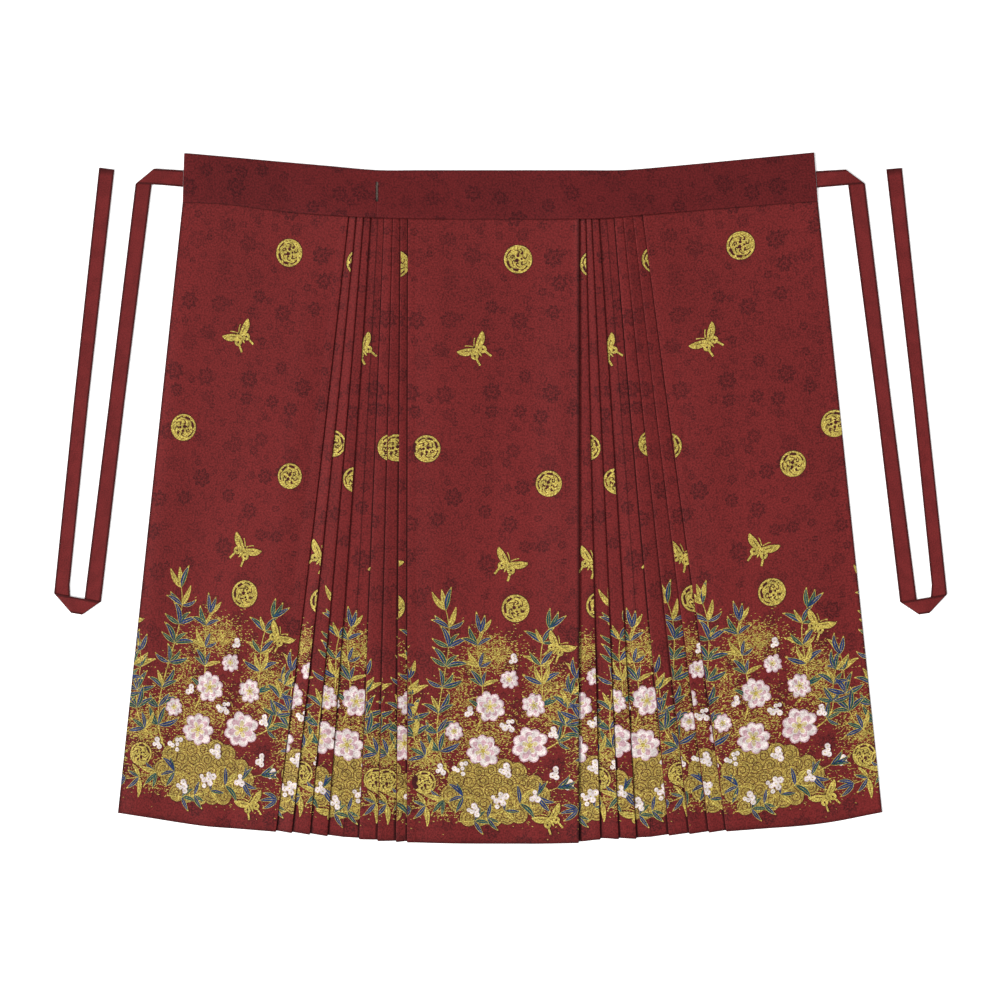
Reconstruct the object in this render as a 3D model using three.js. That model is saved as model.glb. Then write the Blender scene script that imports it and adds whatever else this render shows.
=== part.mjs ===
// A horse-face skirt laid out flat with its outside up: two half skirts, each with a flat panel, a group
// of pressed pleats and a flat horse face, which lie on each other in the middle below one waistband.
// A ribbon tie is folded down beside each end of the band.
// Millimetres. +X is to the right, +Y towards the waist and +Z up from the floor that the skirt lies on.
// The origin is the middle of the floor area that the skirt covers with its ties.

import * as THREE from 'three';

// Cloth of the skirt
const CLOTH = 1.0;              // thickness of one layer
const SEAM_GAP = 0.3;           // clearance between layers and between sewn pieces
const LAYER = CLOTH + SEAM_GAP; // from one layer to the next
const UNDERFOLD = 0.8;          // depth of a hidden underfold, as a share of the strip that covers it
const RAMP = 60;                // width over which a flat panel climbs onto the pleats beside it
const CREASE_RISE = 0.4;        // height of the faint crease along the middle of a box
const LOWER_FACE_INSET = 3;     // from the last inner fold to the free edge of the hidden horse face
const LOWER_FACE_SHORT = 1.5;   // the hidden horse face ends this much above the hem

// Waistband
const BAND_EDGE = 2.0;          // thickness at the pressed top edge
const BAND_BODY = 2.7;          // thickness where it holds a single layer of cloth
const BAND_COVER = 1.0;         // band cloth above the pleats that it holds
const BAND_SEAM_X = -179.4;     // upright seam between its two parts
const SLIT_HALF_WIDTH = 1.2;    // half of the slit that is left open in that seam
const BAND_CORNER = 2.5;        // rounding of the upper corners at its ends
const BAND_PITCH = 22;          // spacing of the sections along it

// Ties
const TIE_CLOTH = 1.2;          // thickness of the ribbon
const TIE_LAYER = TIE_CLOTH + SEAM_GAP;

// Dyed colours of the cloth, and how dull it is
const PANEL_RED = 0x6e2a2a;
const PLEAT_RED = 0x632626;     // a little darker between the folds
const HIDDEN_RED = 0x652727;
const BAND_RED = 0x652426;
const TIE_RED = 0x6f2a2c;
const SATIN = 0.75;
const PLAIN_WEAVE = 0.8;

// Fineness
const ROWS = 8;                 // steps from waist to hem
const FLAT_STEPS = 5;           // steps across the flat of a panel
const RAMP_STEPS = 5;           // steps across a ramp
const FOLD_STEPS = 3;           // steps round a fold

// X of each fold edge at the waist seam and at the hem, and its bulge to the right half-way down
const LEFT_FOLDS = [
  { waist: -220.6, hem: -326.0, bow: 1.8 },
  { waist: -209.5, hem: -302.8, bow: 1.6 },
  { waist: -198.9, hem: -276.7, bow: 1.5 },
  { waist: -188.8, hem: -251.3, bow: 1.5 },
  { waist: -178.1, hem: -228.0, bow: 1.0 },
  { waist: -168.9, hem: -205.5, bow: 0.7 },
  { waist: -156.3, hem: -178.7, bow: 0.3 },
  { waist: -145.4, hem: -151.8, bow: 0.5 },
  { waist: -134.5, hem: -135.8, bow: 0.0 },
];
const RIGHT_FOLDS = [
  { waist: 113.6, hem: 113.5, bow: 0.0 },
  { waist: 123.5, hem: 145.0, bow: -0.6 },
  { waist: 131.9, hem: 171.7, bow: 0.8 },
  { waist: 142.5, hem: 197.3, bow: 1.5 },
  { waist: 153.8, hem: 218.9, bow: 1.2 },
  { waist: 165.3, hem: 244.4, bow: -1.5 },
  { waist: 177.9, hem: 274.1, bow: -1.8 },
  { waist: 192.0, hem: 302.4, bow: -1.5 },
  { waist: 206.3, hem: 327.6, bow: -1.2 },
];
const CREASE = 4;               // the faint crease; the folds before it face right, those after it left

// Free edges of the skirt
const LEFT_EDGE = { waist: -461.8, hem: -556.0, bow: 0.0 };
const RIGHT_EDGE = { waist: 460.9, hem: 554.5, bow: 0.0 };

// Outline of the hem, of the waist seam and of the band's top edge
const HEM = [
  { x: -555.4, y: -457.4 },
  { x: -526.4, y: -461.8 },
  { x: -437.1, y: -475.6 },
  { x: -361.2, y: -481.8 },
  { x: -302.8, y: -486.2 },
  { x: -228.0, y: -493.2 },
  { x: -178.7, y: -497.8 },
  { x: -135.8, y: -499.8 },
  { x: -8.8, y: -502.0 },
  { x: 113.2, y: -500.4 },
  { x: 145.0, y: -495.6 },
  { x: 197.3, y: -494.8 },
  { x: 244.4, y: -490.2 },
  { x: 302.4, y: -485.6 },
  { x: 363.7, y: -481.3 },
  { x: 464.7, y: -473.0 },
  { x: 553.6, y: -456.7 },
];
const WAIST_SEAM = [
  { x: -459.6, y: 429.7 },
  { x: -398.6, y: 427.0 },
  { x: -316.3, y: 416.4 },
  { x: -224.8, y: 408.8 },
  { x: -133.2, y: 405.6 },
  { x: -0.8, y: 405.0 },
  { x: 142.9, y: 405.4 },
  { x: 199.6, y: 410.0 },
  { x: 276.5, y: 416.9 },
  { x: 362.2, y: 424.0 },
  { x: 460.9, y: 431.5 },
];
const BAND_TOP = [
  { x: -457.5, y: 501.2 },
  { x: -410.3, y: 497.1 },
  { x: -326.0, y: 489.3 },
  { x: -253.7, y: 483.0 },
  { x: -179.4, y: 476.6 },
  { x: -120.0, y: 476.4 },
  { x: 120.0, y: 476.4 },
  { x: 178.0, y: 476.6 },
  { x: 240.7, y: 481.6 },
  { x: 337.1, y: 490.7 },
  { x: 455.1, y: 502.3 },
];

// X of the band's ends at its top edge and at the waist seam
const BAND_LEFT_END = { top: -459.7, seam: -461.8 };
const BAND_RIGHT_END = { top: 455.6, seam: 460.9 };

// How much of the thickest pleats the band holds along the waist seam
const BAND_RISE = [
  { x: -310, y: 0.0 },
  { x: -225, y: 1.0 },
  { x: -125, y: 1.0 },
  { x: -60, y: 0.3 },
  { x: 40, y: 0.3 },
  { x: 105, y: 1.28 },
  { x: 130, y: 1.1 },
  { x: 150, y: 1.0 },
  { x: 215, y: 1.0 },
  { x: 290, y: 0.0 },
];

// Rows of the band from its top edge (0) to the waist seam (1): the share of the pleats' thickness that
// it has there, and the share of the slit's half width
const BAND_ROWS = [
  { share: 0.0, pleats: 0.0, slit: 0 },
  { share: 0.08, pleats: 0.0, slit: 0 },
  { share: 0.23, pleats: 0.1, slit: 0 },
  { share: 0.27, pleats: 0.15, slit: 1 },
  { share: 0.64, pleats: 0.72, slit: 1 },
  { share: 0.68, pleats: 0.78, slit: 0 },
  { share: 0.82, pleats: 0.95, slit: 0 },
  { share: 1.0, pleats: 1.0, slit: 0 },
];

// Cross lines of the ties, from the band to the free end. edgeA and edgeB are the ribbon's two edges,
// level counts the layers below it, and at a fold the ribbon turns over to the level after it.
const LEFT_TIE = [
  { edgeA: [-460.8, 476.2], edgeB: [-461.5, 452.1], level: 0.2 },
  { edgeA: [-490.1, 477.8], edgeB: [-490.1, 454.5], level: 1 },
  { edgeA: [-503.9, 478.7], edgeB: [-530.3, 456.9], level: 1, fold: true },
  { edgeA: [-546.0, 142.5], edgeB: [-568.5, 142.5], level: 0 },
  { edgeA: [-580.4, -150.5], edgeB: [-607.4, -169.4], level: 0, fold: true },
  { edgeA: [-648.8, -138.4], edgeB: [-624.3, -166.5], level: 1, fold: true },
  { edgeA: [-647.5, -126.1], edgeB: [-626.0, -126.1], level: 0 },
  { edgeA: [-619.9, 142.5], edgeB: [-598.6, 142.5], level: 0 },
  { edgeA: [-583.3, 480.2], edgeB: [-561.0, 477.3], level: 0 },
];
const RIGHT_TIE = [
  { edgeA: [459.8, 450.9], edgeB: [458.0, 475.0], level: 0.2 },
  { edgeA: [490.0, 453.4], edgeB: [488.5, 476.6], level: 1 },
  { edgeA: [529.5, 457.0], edgeB: [502.0, 477.3], level: 1, fold: true },
  { edgeA: [567.5, 142.5], edgeB: [545.4, 142.5], level: 0 },
  { edgeA: [607.6, -169.1], edgeB: [580.4, -151.1], level: 0, fold: true },
  { edgeA: [623.3, -166.9], edgeB: [648.8, -139.6], level: 1, fold: true },
  { edgeA: [626.4, -126.1], edgeB: [647.4, -126.1], level: 0 },
  { edgeA: [598.9, 142.5], edgeB: [618.8, 142.5], level: 0 },
  { edgeA: [560.3, 477.9], edgeB: [583.2, 479.8], level: 0 },
];

const { lerp, clamp, smoothstep } = THREE.MathUtils;

// Smooth curve through a table of x and y: a cubic between neighbours, whose slope at each point is that
// of the chord from the point before it to the point after it
function curveThrough(table) {
  const last = table.length - 1;
  const slope = table.map((point, i) => {
    const before = table[Math.max(i - 1, 0)];
    const after = table[Math.min(i + 1, last)];
    return (after.y - before.y) / (after.x - before.x);
  });
  return (x) => {
    const i = clamp(table.filter((point) => point.x <= x).length - 1, 0, last - 1);
    const span = table[i + 1].x - table[i].x;
    const s = clamp((x - table[i].x) / span, 0, 1);
    const ease = s * s * (3 - 2 * s);
    return lerp(table[i].y, table[i + 1].y, ease)
      + span * slope[i] * s * (1 - s) * (1 - s)
      - span * slope[i + 1] * s * s * (1 - s);
  };
}

const hemY = curveThrough(HEM);
const waistY = curveThrough(WAIST_SEAM);
const bandTopY = curveThrough(BAND_TOP);
const bandRise = curveThrough(BAND_RISE);

// X of an edge or fold at a share of the way from waist to hem
function edgeX(edge, share) {
  return lerp(edge.waist, edge.hem, share) + edge.bow * 4 * share * (1 - share);
}

// Closed solid between two grids of points, face and back, which have the same rows and columns
function wall(name, rows, colour, roughness) {
  const columns = rows[0].length;
  const positions = [];
  for (const row of rows) {
    for (const { face, back } of row) positions.push(...face, ...back);
  }
  const faceAt = (r, c) => 2 * (r * columns + c);
  const backAt = (r, c) => faceAt(r, c) + 1;
  const index = [];
  const quad = (a, b, c, d) => index.push(a, b, c, a, c, d);
  for (let r = 0; r < rows.length - 1; r++) {
    for (let c = 0; c < columns - 1; c++) {
      quad(faceAt(r, c), faceAt(r + 1, c), faceAt(r + 1, c + 1), faceAt(r, c + 1));
      quad(backAt(r, c), backAt(r, c + 1), backAt(r + 1, c + 1), backAt(r + 1, c));
    }
    quad(faceAt(r, 0), backAt(r, 0), backAt(r + 1, 0), faceAt(r + 1, 0));
    const c = columns - 1;
    quad(faceAt(r, c), faceAt(r + 1, c), backAt(r + 1, c), backAt(r, c));
  }
  for (let c = 0; c < columns - 1; c++) {
    quad(faceAt(0, c), faceAt(0, c + 1), backAt(0, c + 1), backAt(0, c));
    const r = rows.length - 1;
    quad(faceAt(r, c), backAt(r, c), backAt(r, c + 1), faceAt(r, c + 1));
  }
  const geometry = new THREE.BufferGeometry();
  geometry.setAttribute('position', new THREE.Float32BufferAttribute(positions, 3));
  geometry.setIndex(index);
  geometry.computeVertexNormals();
  const material = new THREE.MeshStandardMaterial({ color: colour, roughness, metalness: 0 });
  const mesh = new THREE.Mesh(geometry, material);
  mesh.name = name;
  return mesh;
}

// The two sides of a path of cloth: each point moved out by half a layer, square to the path
function bothSides(path) {
  const direction = path.slice(1).map((point, i) => {
    const dx = point.x - path[i].x;
    const dz = point.z - path[i].z;
    const length = Math.hypot(dx, dz);
    return { x: dx / length, z: dz / length };
  });
  return path.map((point, i) => {
    const before = direction[Math.max(i - 1, 0)];
    const after = direction[Math.min(i, direction.length - 1)];
    const cosine = before.x * after.x + before.z * after.z;
    const reach = CLOTH / 2 / (1 + cosine);
    const nx = -(before.z + after.z) * reach;
    const nz = (before.x + after.x) * reach;
    return { face: { x: point.x + nx, z: point.z + nz }, back: { x: point.x - nx, z: point.z - nz } };
  });
}

// A wall of cloth from waist to hem. path(share) is its section: x and z of the middle of the cloth.
// Each point of the section runs straight down from the waist seam to the hem.
function clothWall(name, path, colour, shorter = 0) {
  const atWaist = path(0);
  const atHem = path(1);
  const rows = [];
  for (let r = 0; r <= ROWS; r++) {
    const share = r / ROWS;
    rows.push(bothSides(path(share)).map(({ face, back }, i) => {
      const y = lerp(waistY(atWaist[i].x) - SEAM_GAP, hemY(atHem[i].x) + shorter, share);
      return { face: [face.x, y, face.z], back: [back.x, y, back.z] };
    }));
  }
  return wall(name, rows, colour, SATIN);
}

const FOLD_RADIUS = LAYER / 2;                // middle of the cloth round a fold
const FOLD_REACH = FOLD_RADIUS + CLOTH / 2;   // from a fold's axis to its outer edge

// Fold edges that all face right, from a flat panel inwards. Each hides an underfold that reaches back
// to its inner fold. rise(i, x) is the height of the underside of strip i, where strip 0 is the panel.
function pleatLayout(edges) {
  const inner = edges.map((edge, i) => {
    const cover = i === 0 ? edges[1] - edges[0] : edge - edges[i - 1];
    return edge - UNDERFOLD * cover;
  });
  const rise = (i, x) => {
    if (i === edges.length) return 0;
    if (x > inner[i]) return 2 * LAYER + rise(i + 1, x);
    const start = i === 0 ? inner[0] - RAMP : inner[i - 1];
    if (i === 0) return 2 * LAYER * smoothstep(x, start, inner[0]);
    return 2 * LAYER * (x - start) / (inner[i] - start);
  };
  return { edges, inner, rise };
}

// Adds a half turn to a path, from the top layer to the one below; side is 1 for a turn to the right
function addFold(path, x, underside, side) {
  const top = underside + CLOTH / 2;
  for (let s = 0; s <= FOLD_STEPS; s++) {
    const angle = Math.PI * s / FOLD_STEPS;
    path.push({
      x: x + side * FOLD_RADIUS * Math.sin(angle),
      z: top - FOLD_RADIUS * (1 - Math.cos(angle)),
    });
  }
}

// Section of one side of a pleat group, from under the flat panel to the bottom of the box
function pleatPath({ edges, inner, rise }) {
  const path = [{ x: inner[0], z: CLOTH / 2 }];
  for (let i = 1; i < edges.length; i++) {
    const out = edges[i] - FOLD_REACH;
    const back = inner[i] + FOLD_REACH;
    path.push({ x: inner[i], z: 2 * LAYER + CLOTH / 2 });
    addFold(path, out, rise(i, out), 1);
    addFold(path, back, rise(i, back) - LAYER, -1);
  }
  path.push({ x: edges[edges.length - 1], z: CLOTH / 2 });
  return path;
}

// Section of a flat panel from its free edge to the fold over the pleats, and under it to the inner fold.
// across holds more places where the section has a point, and lie(x) is the height of its underside.
function panelPath({ edges, inner, rise }, free, across = [], lie = (x) => rise(0, x)) {
  const rampStart = inner[0] - RAMP;
  const flatStart = across.length > 0 ? across[across.length - 1] : free;
  const places = [free, ...across];
  for (let s = 1; s < FLAT_STEPS; s++) places.push(lerp(flatStart, rampStart, s / FLAT_STEPS));
  for (let s = 0; s <= RAMP_STEPS; s++) places.push(rampStart + RAMP * s / RAMP_STEPS);
  const path = places.map((x) => ({ x, z: lie(x) + CLOTH / 2 }));
  const out = edges[0] - FOLD_REACH;
  addFold(path, out, rise(0, out), 1);
  path.push({ x: inner[0], z: LAYER + CLOTH / 2 });
  return path;
}

// The same section seen from the other side
function mirrored(path) {
  return path.map(({ x, z }) => ({ x: -x, z })).reverse();
}

// The right-facing folds of a group, and its left-facing ones as their mirror image
function rightFacing(folds, share) {
  return pleatLayout(folds.slice(0, CREASE).map((fold) => edgeX(fold, share)));
}

function leftFacing(folds, share) {
  return pleatLayout(folds.slice(CREASE + 1).reverse().map((fold) => -edgeX(fold, share)));
}

function pleatGroup(name, folds) {
  return clothWall(name, (share) => [
    ...pleatPath(rightFacing(folds, share)),
    { x: edgeX(folds[CREASE], share), z: CREASE_RISE + CLOTH / 2 },
    ...mirrored(pleatPath(leftFacing(folds, share))),
  ], PLEAT_RED);
}

function leftPanel() {
  return clothWall('left_panel', (share) => (
    panelPath(rightFacing(LEFT_FOLDS, share), edgeX(LEFT_EDGE, share))
  ), PANEL_RED);
}

function rightPanel() {
  return clothWall('right_panel', (share) => (
    mirrored(panelPath(leftFacing(RIGHT_FOLDS, share), -edgeX(RIGHT_EDGE, share)))
  ), PANEL_RED);
}

// The hidden horse face folds over the right pleats, and its free edge stops short of the left ones
function lowerFace() {
  return clothWall('centre_panel_lower', (share) => {
    const free = -leftFacing(LEFT_FOLDS, share).inner[0] + LOWER_FACE_INSET;
    return panelPath(rightFacing(RIGHT_FOLDS, share), free);
  }, HIDDEN_RED, LOWER_FACE_SHORT);
}

// The upper horse face folds over the left pleats and lies on the lower one up to its fold edge
function upperFace() {
  return clothWall('centre_panel', (share) => {
    const own = leftFacing(LEFT_FOLDS, share);
    const below = rightFacing(RIGHT_FOLDS, share);
    const free = -below.edges[0];
    const across = [];
    for (let s = RAMP_STEPS; s >= 0; s--) across.push(RAMP * (1 - s / RAMP_STEPS) - below.inner[0]);
    const lie = (x) => {
      if (x > own.inner[0]) return own.rise(0, x);
      return LAYER + own.rise(0, x) / 2 + below.rise(0, -x);
    };
    return mirrored(panelPath(own, free, across, lie));
  }, PANEL_RED);
}

const PLEAT_STACK = 2 * LAYER * (1 + UNDERFOLD) + CLOTH;

// One part of the band between two ends; seamSide is -1 or 1 for the end that has the slit
function bandPart(name, leftEnd, rightEnd, seamSide) {
  const steps = Math.round((rightEnd.seam - leftEnd.seam) / BAND_PITCH);
  const places = [];
  for (let c = 0; c <= steps; c++) places.push(c / steps);
  const cornerShare = BAND_CORNER / (rightEnd.seam - leftEnd.seam);
  if (seamSide > 0) places.splice(1, 0, cornerShare);
  else places.splice(places.length - 1, 0, 1 - cornerShare);
  const rows = BAND_ROWS.map(({ share, pleats, slit }, r) => places.map((place, c) => {
    const atSeam = c === (seamSide > 0 ? places.length - 1 : 0);
    const atEnd = c === (seamSide > 0 ? 0 : places.length - 1);
    const left = lerp(leftEnd.top, leftEnd.seam, share);
    const right = lerp(rightEnd.top, rightEnd.seam, share);
    const x = lerp(left, right, place) - (atSeam ? seamSide * slit * SLIT_HALF_WIDTH : 0);
    const y = lerp(bandTopY(x), waistY(x), share) - (atEnd && r === 0 ? BAND_CORNER : 0);
    const held = Math.max(bandRise(x), 0) * pleats;
    const body = r === 0 ? BAND_EDGE : BAND_BODY;
    const top = lerp(body, PLEAT_STACK + BAND_COVER, held);
    return { face: [x, y, top], back: [x, y, 0] };
  }));
  return wall(name, rows, BAND_RED, PLAIN_WEAVE);
}

function waistbandLeft() {
  const end = BAND_SEAM_X - SEAM_GAP / 2;
  return bandPart('waistband_left', BAND_LEFT_END, { top: end, seam: end }, 1);
}

function waistbandRight() {
  const end = BAND_SEAM_X + SEAM_GAP / 2;
  return bandPart('waistband_right', { top: end, seam: end }, BAND_RIGHT_END, -1);
}

// A flat ribbon along its cross lines, which turns over at each fold
function tie(name, lines) {
  const up = new THREE.Vector3(0, 0, 1);
  const middleAt = (level) => TIE_CLOTH / 2 + level * TIE_LAYER;
  const radius = TIE_LAYER / 2;
  const reach = radius + TIE_CLOTH / 2;
  const point = ([x, y], z) => new THREE.Vector3(x, y, z);
  const rows = [];
  let faceUp = 1;
  const addSection = (a, b, normal) => {
    const half = normal.clone().multiplyScalar(TIE_CLOTH / 2);
    rows.push([a, b].map((p) => ({
      face: p.clone().add(half).toArray(),
      back: p.clone().sub(half).toArray(),
    })));
  };
  lines.forEach((line, i) => {
    if (!line.fold) {
      const z = middleAt(line.level);
      addSection(point(line.edgeA, z), point(line.edgeB, z), up.clone().multiplyScalar(faceUp));
      return;
    }
    const ends = [point(line.edgeA, 0), point(line.edgeB, 0)];
    const inward = ends[1].clone().sub(ends[0]).cross(up).normalize();
    const neighbours = [lines[i - 1], lines[i + 1]].map((other) => (
      [point(other.edgeA, 0), point(other.edgeB, 0)]
    ));
    if (neighbours[0][0].clone().sub(ends[0]).dot(inward) < 0) inward.negate();
    // Where the ribbon's two edges cross the axis of the fold, before and after it
    const onAxis = neighbours.map((edges) => edges.map((other, side) => {
      const way = other.clone().sub(ends[side]);
      return ends[side].clone().addScaledVector(way, reach / way.dot(inward));
    }));
    const after = lines[i + 1].level;
    const climb = after > line.level ? 1 : -1;
    const axisZ = (middleAt(line.level) + middleAt(after)) / 2;
    for (let s = 0; s <= FOLD_STEPS; s++) {
      const angle = Math.PI * s / FOLD_STEPS;
      const toAxis = up.clone().multiplyScalar(climb * Math.cos(angle));
      toAxis.addScaledVector(inward, Math.sin(angle));
      const [a, b] = [0, 1].map((side) => {
        const p = onAxis[0][side].clone().lerp(onAxis[1][side], s / FOLD_STEPS);
        p.z = axisZ;
        return p.addScaledVector(toAxis, -radius);
      });
      addSection(a, b, toAxis.multiplyScalar(climb * faceUp));
    }
    faceUp = -faceUp;
  });
  return wall(name, rows, TIE_RED, PLAIN_WEAVE);
}

const skirt = new THREE.Group();
skirt.add(
  leftPanel(),
  pleatGroup('left_pleats', LEFT_FOLDS),
  lowerFace(),
  upperFace(),
  pleatGroup('right_pleats', RIGHT_FOLDS),
  rightPanel(),
  waistbandLeft(),
  waistbandRight(),
  tie('tie_left', LEFT_TIE),
  tie('tie_right', RIGHT_TIE),
);

export default skirt;
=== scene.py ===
import bpy
import numpy as np
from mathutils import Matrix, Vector


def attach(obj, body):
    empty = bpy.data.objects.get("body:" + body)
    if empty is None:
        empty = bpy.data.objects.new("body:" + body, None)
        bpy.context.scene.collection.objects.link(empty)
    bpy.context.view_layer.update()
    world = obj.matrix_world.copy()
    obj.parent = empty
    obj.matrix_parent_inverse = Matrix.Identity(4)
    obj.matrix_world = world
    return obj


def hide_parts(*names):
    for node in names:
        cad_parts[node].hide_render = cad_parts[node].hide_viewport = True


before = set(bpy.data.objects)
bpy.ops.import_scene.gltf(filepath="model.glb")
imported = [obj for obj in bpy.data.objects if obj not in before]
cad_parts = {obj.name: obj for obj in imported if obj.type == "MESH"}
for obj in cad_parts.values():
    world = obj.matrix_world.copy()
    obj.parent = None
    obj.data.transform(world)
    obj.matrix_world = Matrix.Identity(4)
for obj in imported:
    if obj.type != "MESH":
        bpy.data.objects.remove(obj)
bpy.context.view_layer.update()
MM = 0.001

# Camera. The skirt was photographed from straight above through a long lens, with a little room round
# it on every side.
PICTURE_WIDTH = 1452             # how much of the floor the picture is wide
LENS = 100                       # focal length
SENSOR = 36                      # width of the film
AIM = (-0.8, -2.7, 3)            # the middle of the picture, level with the cloth
camera_data = bpy.data.cameras.new("camera")
camera_data.lens = LENS
camera_data.sensor_width = SENSOR
camera = bpy.data.objects.new("camera", camera_data)
camera.location = (AIM[0] * MM, AIM[1] * MM, (PICTURE_WIDTH * LENS / SENSOR + AIM[2]) * MM)
bpy.context.collection.objects.link(camera)
bpy.context.scene.camera = camera

# Left outer panel. The flat outer face of the upper half skirt, one width of satin damask with woven
# figures. Its left edge is free, its right edge is folded back over the pleats, and its top is sewn
# into the waistband.
CLOTH = 0.8                      # thickness shown, on the middle of the 1 mm solids
SOLID_CLOTH = 1.0
SEAM_GAP = 0.3
SEAM_TURN = 0.8                  # how far the cloth reaches into the waistband
LAYER = SOLID_CLOTH + SEAM_GAP   # from one layer to the next
UNDERFOLD = 0.8                  # depth of an underfold, as a share of the strip that covers it
RAMP = 60                        # width over which a panel climbs onto the pleats beside it
CREASE_RISE = 0.4                # height of the crease along the middle of a box
LENGTH = 907                     # from the waist seam to the hem
FOLD_RADIUS = LAYER / 2
FOLD_REACH = FOLD_RADIUS + SOLID_CLOTH / 2
FOLD_STEPS = 6
FOLD_SHADE = 0.35                # how dark the painted shade gets where the cloth has turned under

# Each fold edge: x at the waist seam, x at the hem, and its bulge to the right half-way down
LEFT_FOLDS = [
    (-220.6, -326.0, 1.8),
    (-209.5, -302.8, 1.6),
    (-198.9, -276.7, 1.5),
    (-188.8, -251.3, 1.5),
    (-178.1, -228.0, 1.0),
    (-168.9, -205.5, 0.7),
    (-156.3, -178.7, 0.3),
    (-145.4, -151.8, 0.5),
    (-134.5, -135.8, 0.0),
]
RIGHT_FOLDS = [
    (113.6, 113.5, 0.0),
    (123.5, 145.0, -0.6),
    (131.9, 171.7, 0.8),
    (142.5, 197.3, 1.5),
    (153.8, 218.9, 1.2),
    (165.3, 244.4, -1.5),
    (177.9, 274.1, -1.8),
    (192.0, 302.4, -1.5),
    (206.3, 327.6, -1.2),
]
CREASE = 4                       # the folds before it face right, those after it left
LEFT_EDGE = (-461.8, -556.0, 0.0)
RIGHT_EDGE = (460.9, 554.5, 0.0)

# x and y along the hem and along the waist seam
HEM = [
    (-555.4, -457.4), (-526.4, -461.8), (-437.1, -475.6), (-361.2, -481.8), (-302.8, -486.2),
    (-228.0, -493.2), (-178.7, -497.8), (-135.8, -499.8), (-8.8, -502.0), (113.2, -500.4),
    (145.0, -495.6), (197.3, -494.8), (244.4, -490.2), (302.4, -485.6), (363.7, -481.3),
    (464.7, -473.0), (553.6, -456.7),
]
WAIST_SEAM = [
    (-459.6, 429.7), (-398.6, 427.0), (-316.3, 416.4), (-224.8, 408.8), (-133.2, 405.6), (-0.8, 405.0),
    (142.9, 405.4), (199.6, 410.0), (276.5, 416.9), (362.2, 424.0), (460.9, 431.5),
]

# Soft ridges that pressing and folding left in the cloth: x of the top at the waist and at the hem,
# reach to its left and to its right, height, and the shares of the way down between which it lies
RIDGES = [
    (-450, -535, 18, 52, 1.5, 0.04, 1.25),
    (-268, -378, 115, 40, 3.0, 0.02, 0.86),
    (-330, -430, 30, 34, 0.8, 0.45, 1.2),
    (-212, -296, 28, 78, 1.3, 0.15, 1.1),
    (-92, -84, 42, 92, 2.2, 0.03, 1.2),
    (20, 26, 30, 36, 0.7, 0.3, 0.95),
    (104, 112, 74, 46, 2.4, 0.0, 0.97),
    (158, 236, 34, 30, 1.5, 0.05, 0.9),
    (290, 352, 58, 190, 3.4, 0.08, 1.1),
    (420, 500, 46, 40, 0.8, 0.35, 1.2),
]
# x, reach to each side and height of the waves along the hem
HEM_WAVES = [(-420, 38, 1.1), (-300, 26, 0.7), (-62, 40, 0.9), (48, 30, 1.2), (228, 30, 0.6), (420, 52, 1.3)]
RIDGE_RISE, RIDGE_FALL = 0.22, 0.25   # shares of the way down over which a ridge comes and goes
WAVES_FROM, WAVES_OVER = 0.9, 0.1     # where the waves of the hem start, and over how much they grow
SEAM_FLAT = 0.06                 # the waistband holds the cloth flat over this share
HEM_STEP = 1.8                   # the covered side of a pleat hangs this much higher than its fold
HEM_STEP_OVER = 0.5


def curve_through(table):
    """Smooth curve through a table of x and y. Each slope is that of the chord across the point."""
    xs, ys = np.array(table, float).T
    number = np.arange(len(xs))
    before, after = np.maximum(number - 1, 0), np.minimum(number + 1, len(xs) - 1)
    slope = (ys[after] - ys[before]) / (xs[after] - xs[before])

    def curve(x):
        i = np.clip(np.searchsorted(xs, x, side="right") - 1, 0, len(xs) - 2)
        span = xs[i + 1] - xs[i]
        s = np.clip((x - xs[i]) / span, 0, 1)
        ease = s * s * (3 - 2 * s)
        bend = slope[i] * s * (1 - s) ** 2 - slope[i + 1] * s * s * (1 - s)
        return ys[i] + (ys[i + 1] - ys[i]) * ease + span * bend

    return curve


hem_line = curve_through(HEM)
waist_y = curve_through(WAIST_SEAM)
hem_steps = []
for folds in (LEFT_FOLDS, RIGHT_FOLDS):
    at_hem = [hem for waist, hem, bow in folds]
    for x in at_hem[:CREASE]:
        hem_steps += [(x, 0), (x + HEM_STEP_OVER, HEM_STEP)]
    hem_steps.append((at_hem[CREASE], HEM_STEP / 2))
    for x in at_hem[CREASE + 1:]:
        hem_steps += [(x - HEM_STEP_OVER, HEM_STEP), (x, 0)]


def hem_y(x):
    """Y of the hem, which steps at each fold."""
    return hem_line(x) + np.interp(x, *zip(*hem_steps))


def smooth(t):
    """Eases from 0 to 1."""
    t = np.clip(t, 0, 1)
    return t * t * (3 - 2 * t)


def edge_x(edge, share):
    """X of an edge or fold at a share of the way from waist to hem."""
    waist, hem, bow = edge
    return waist + (hem - waist) * share + bow * 4 * share * (1 - share)


def drape(x, share):
    """How far the ridges lift the cloth from the floor."""
    lift = np.zeros(np.broadcast(x, share).shape)
    for waist, hem, left, right, height, start, end in RIDGES:
        off = x - (waist + (hem - waist) * share)
        across = np.clip(np.where(off < 0, -off / left, off / right), 0, 1)
        along = smooth((share - start) / RIDGE_RISE) * smooth((end - share) / RIDGE_FALL)
        lift += height * (0.5 + 0.5 * np.cos(np.pi * across)) * along
    for place, reach, height in HEM_WAVES:
        across = np.clip(np.abs(x - place) / reach, 0, 1)
        along = smooth((share - WAVES_FROM) / WAVES_OVER)
        lift += height * (0.5 + 0.5 * np.cos(np.pi * across)) * along
    return lift * smooth(share / SEAM_FLAT)


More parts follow.
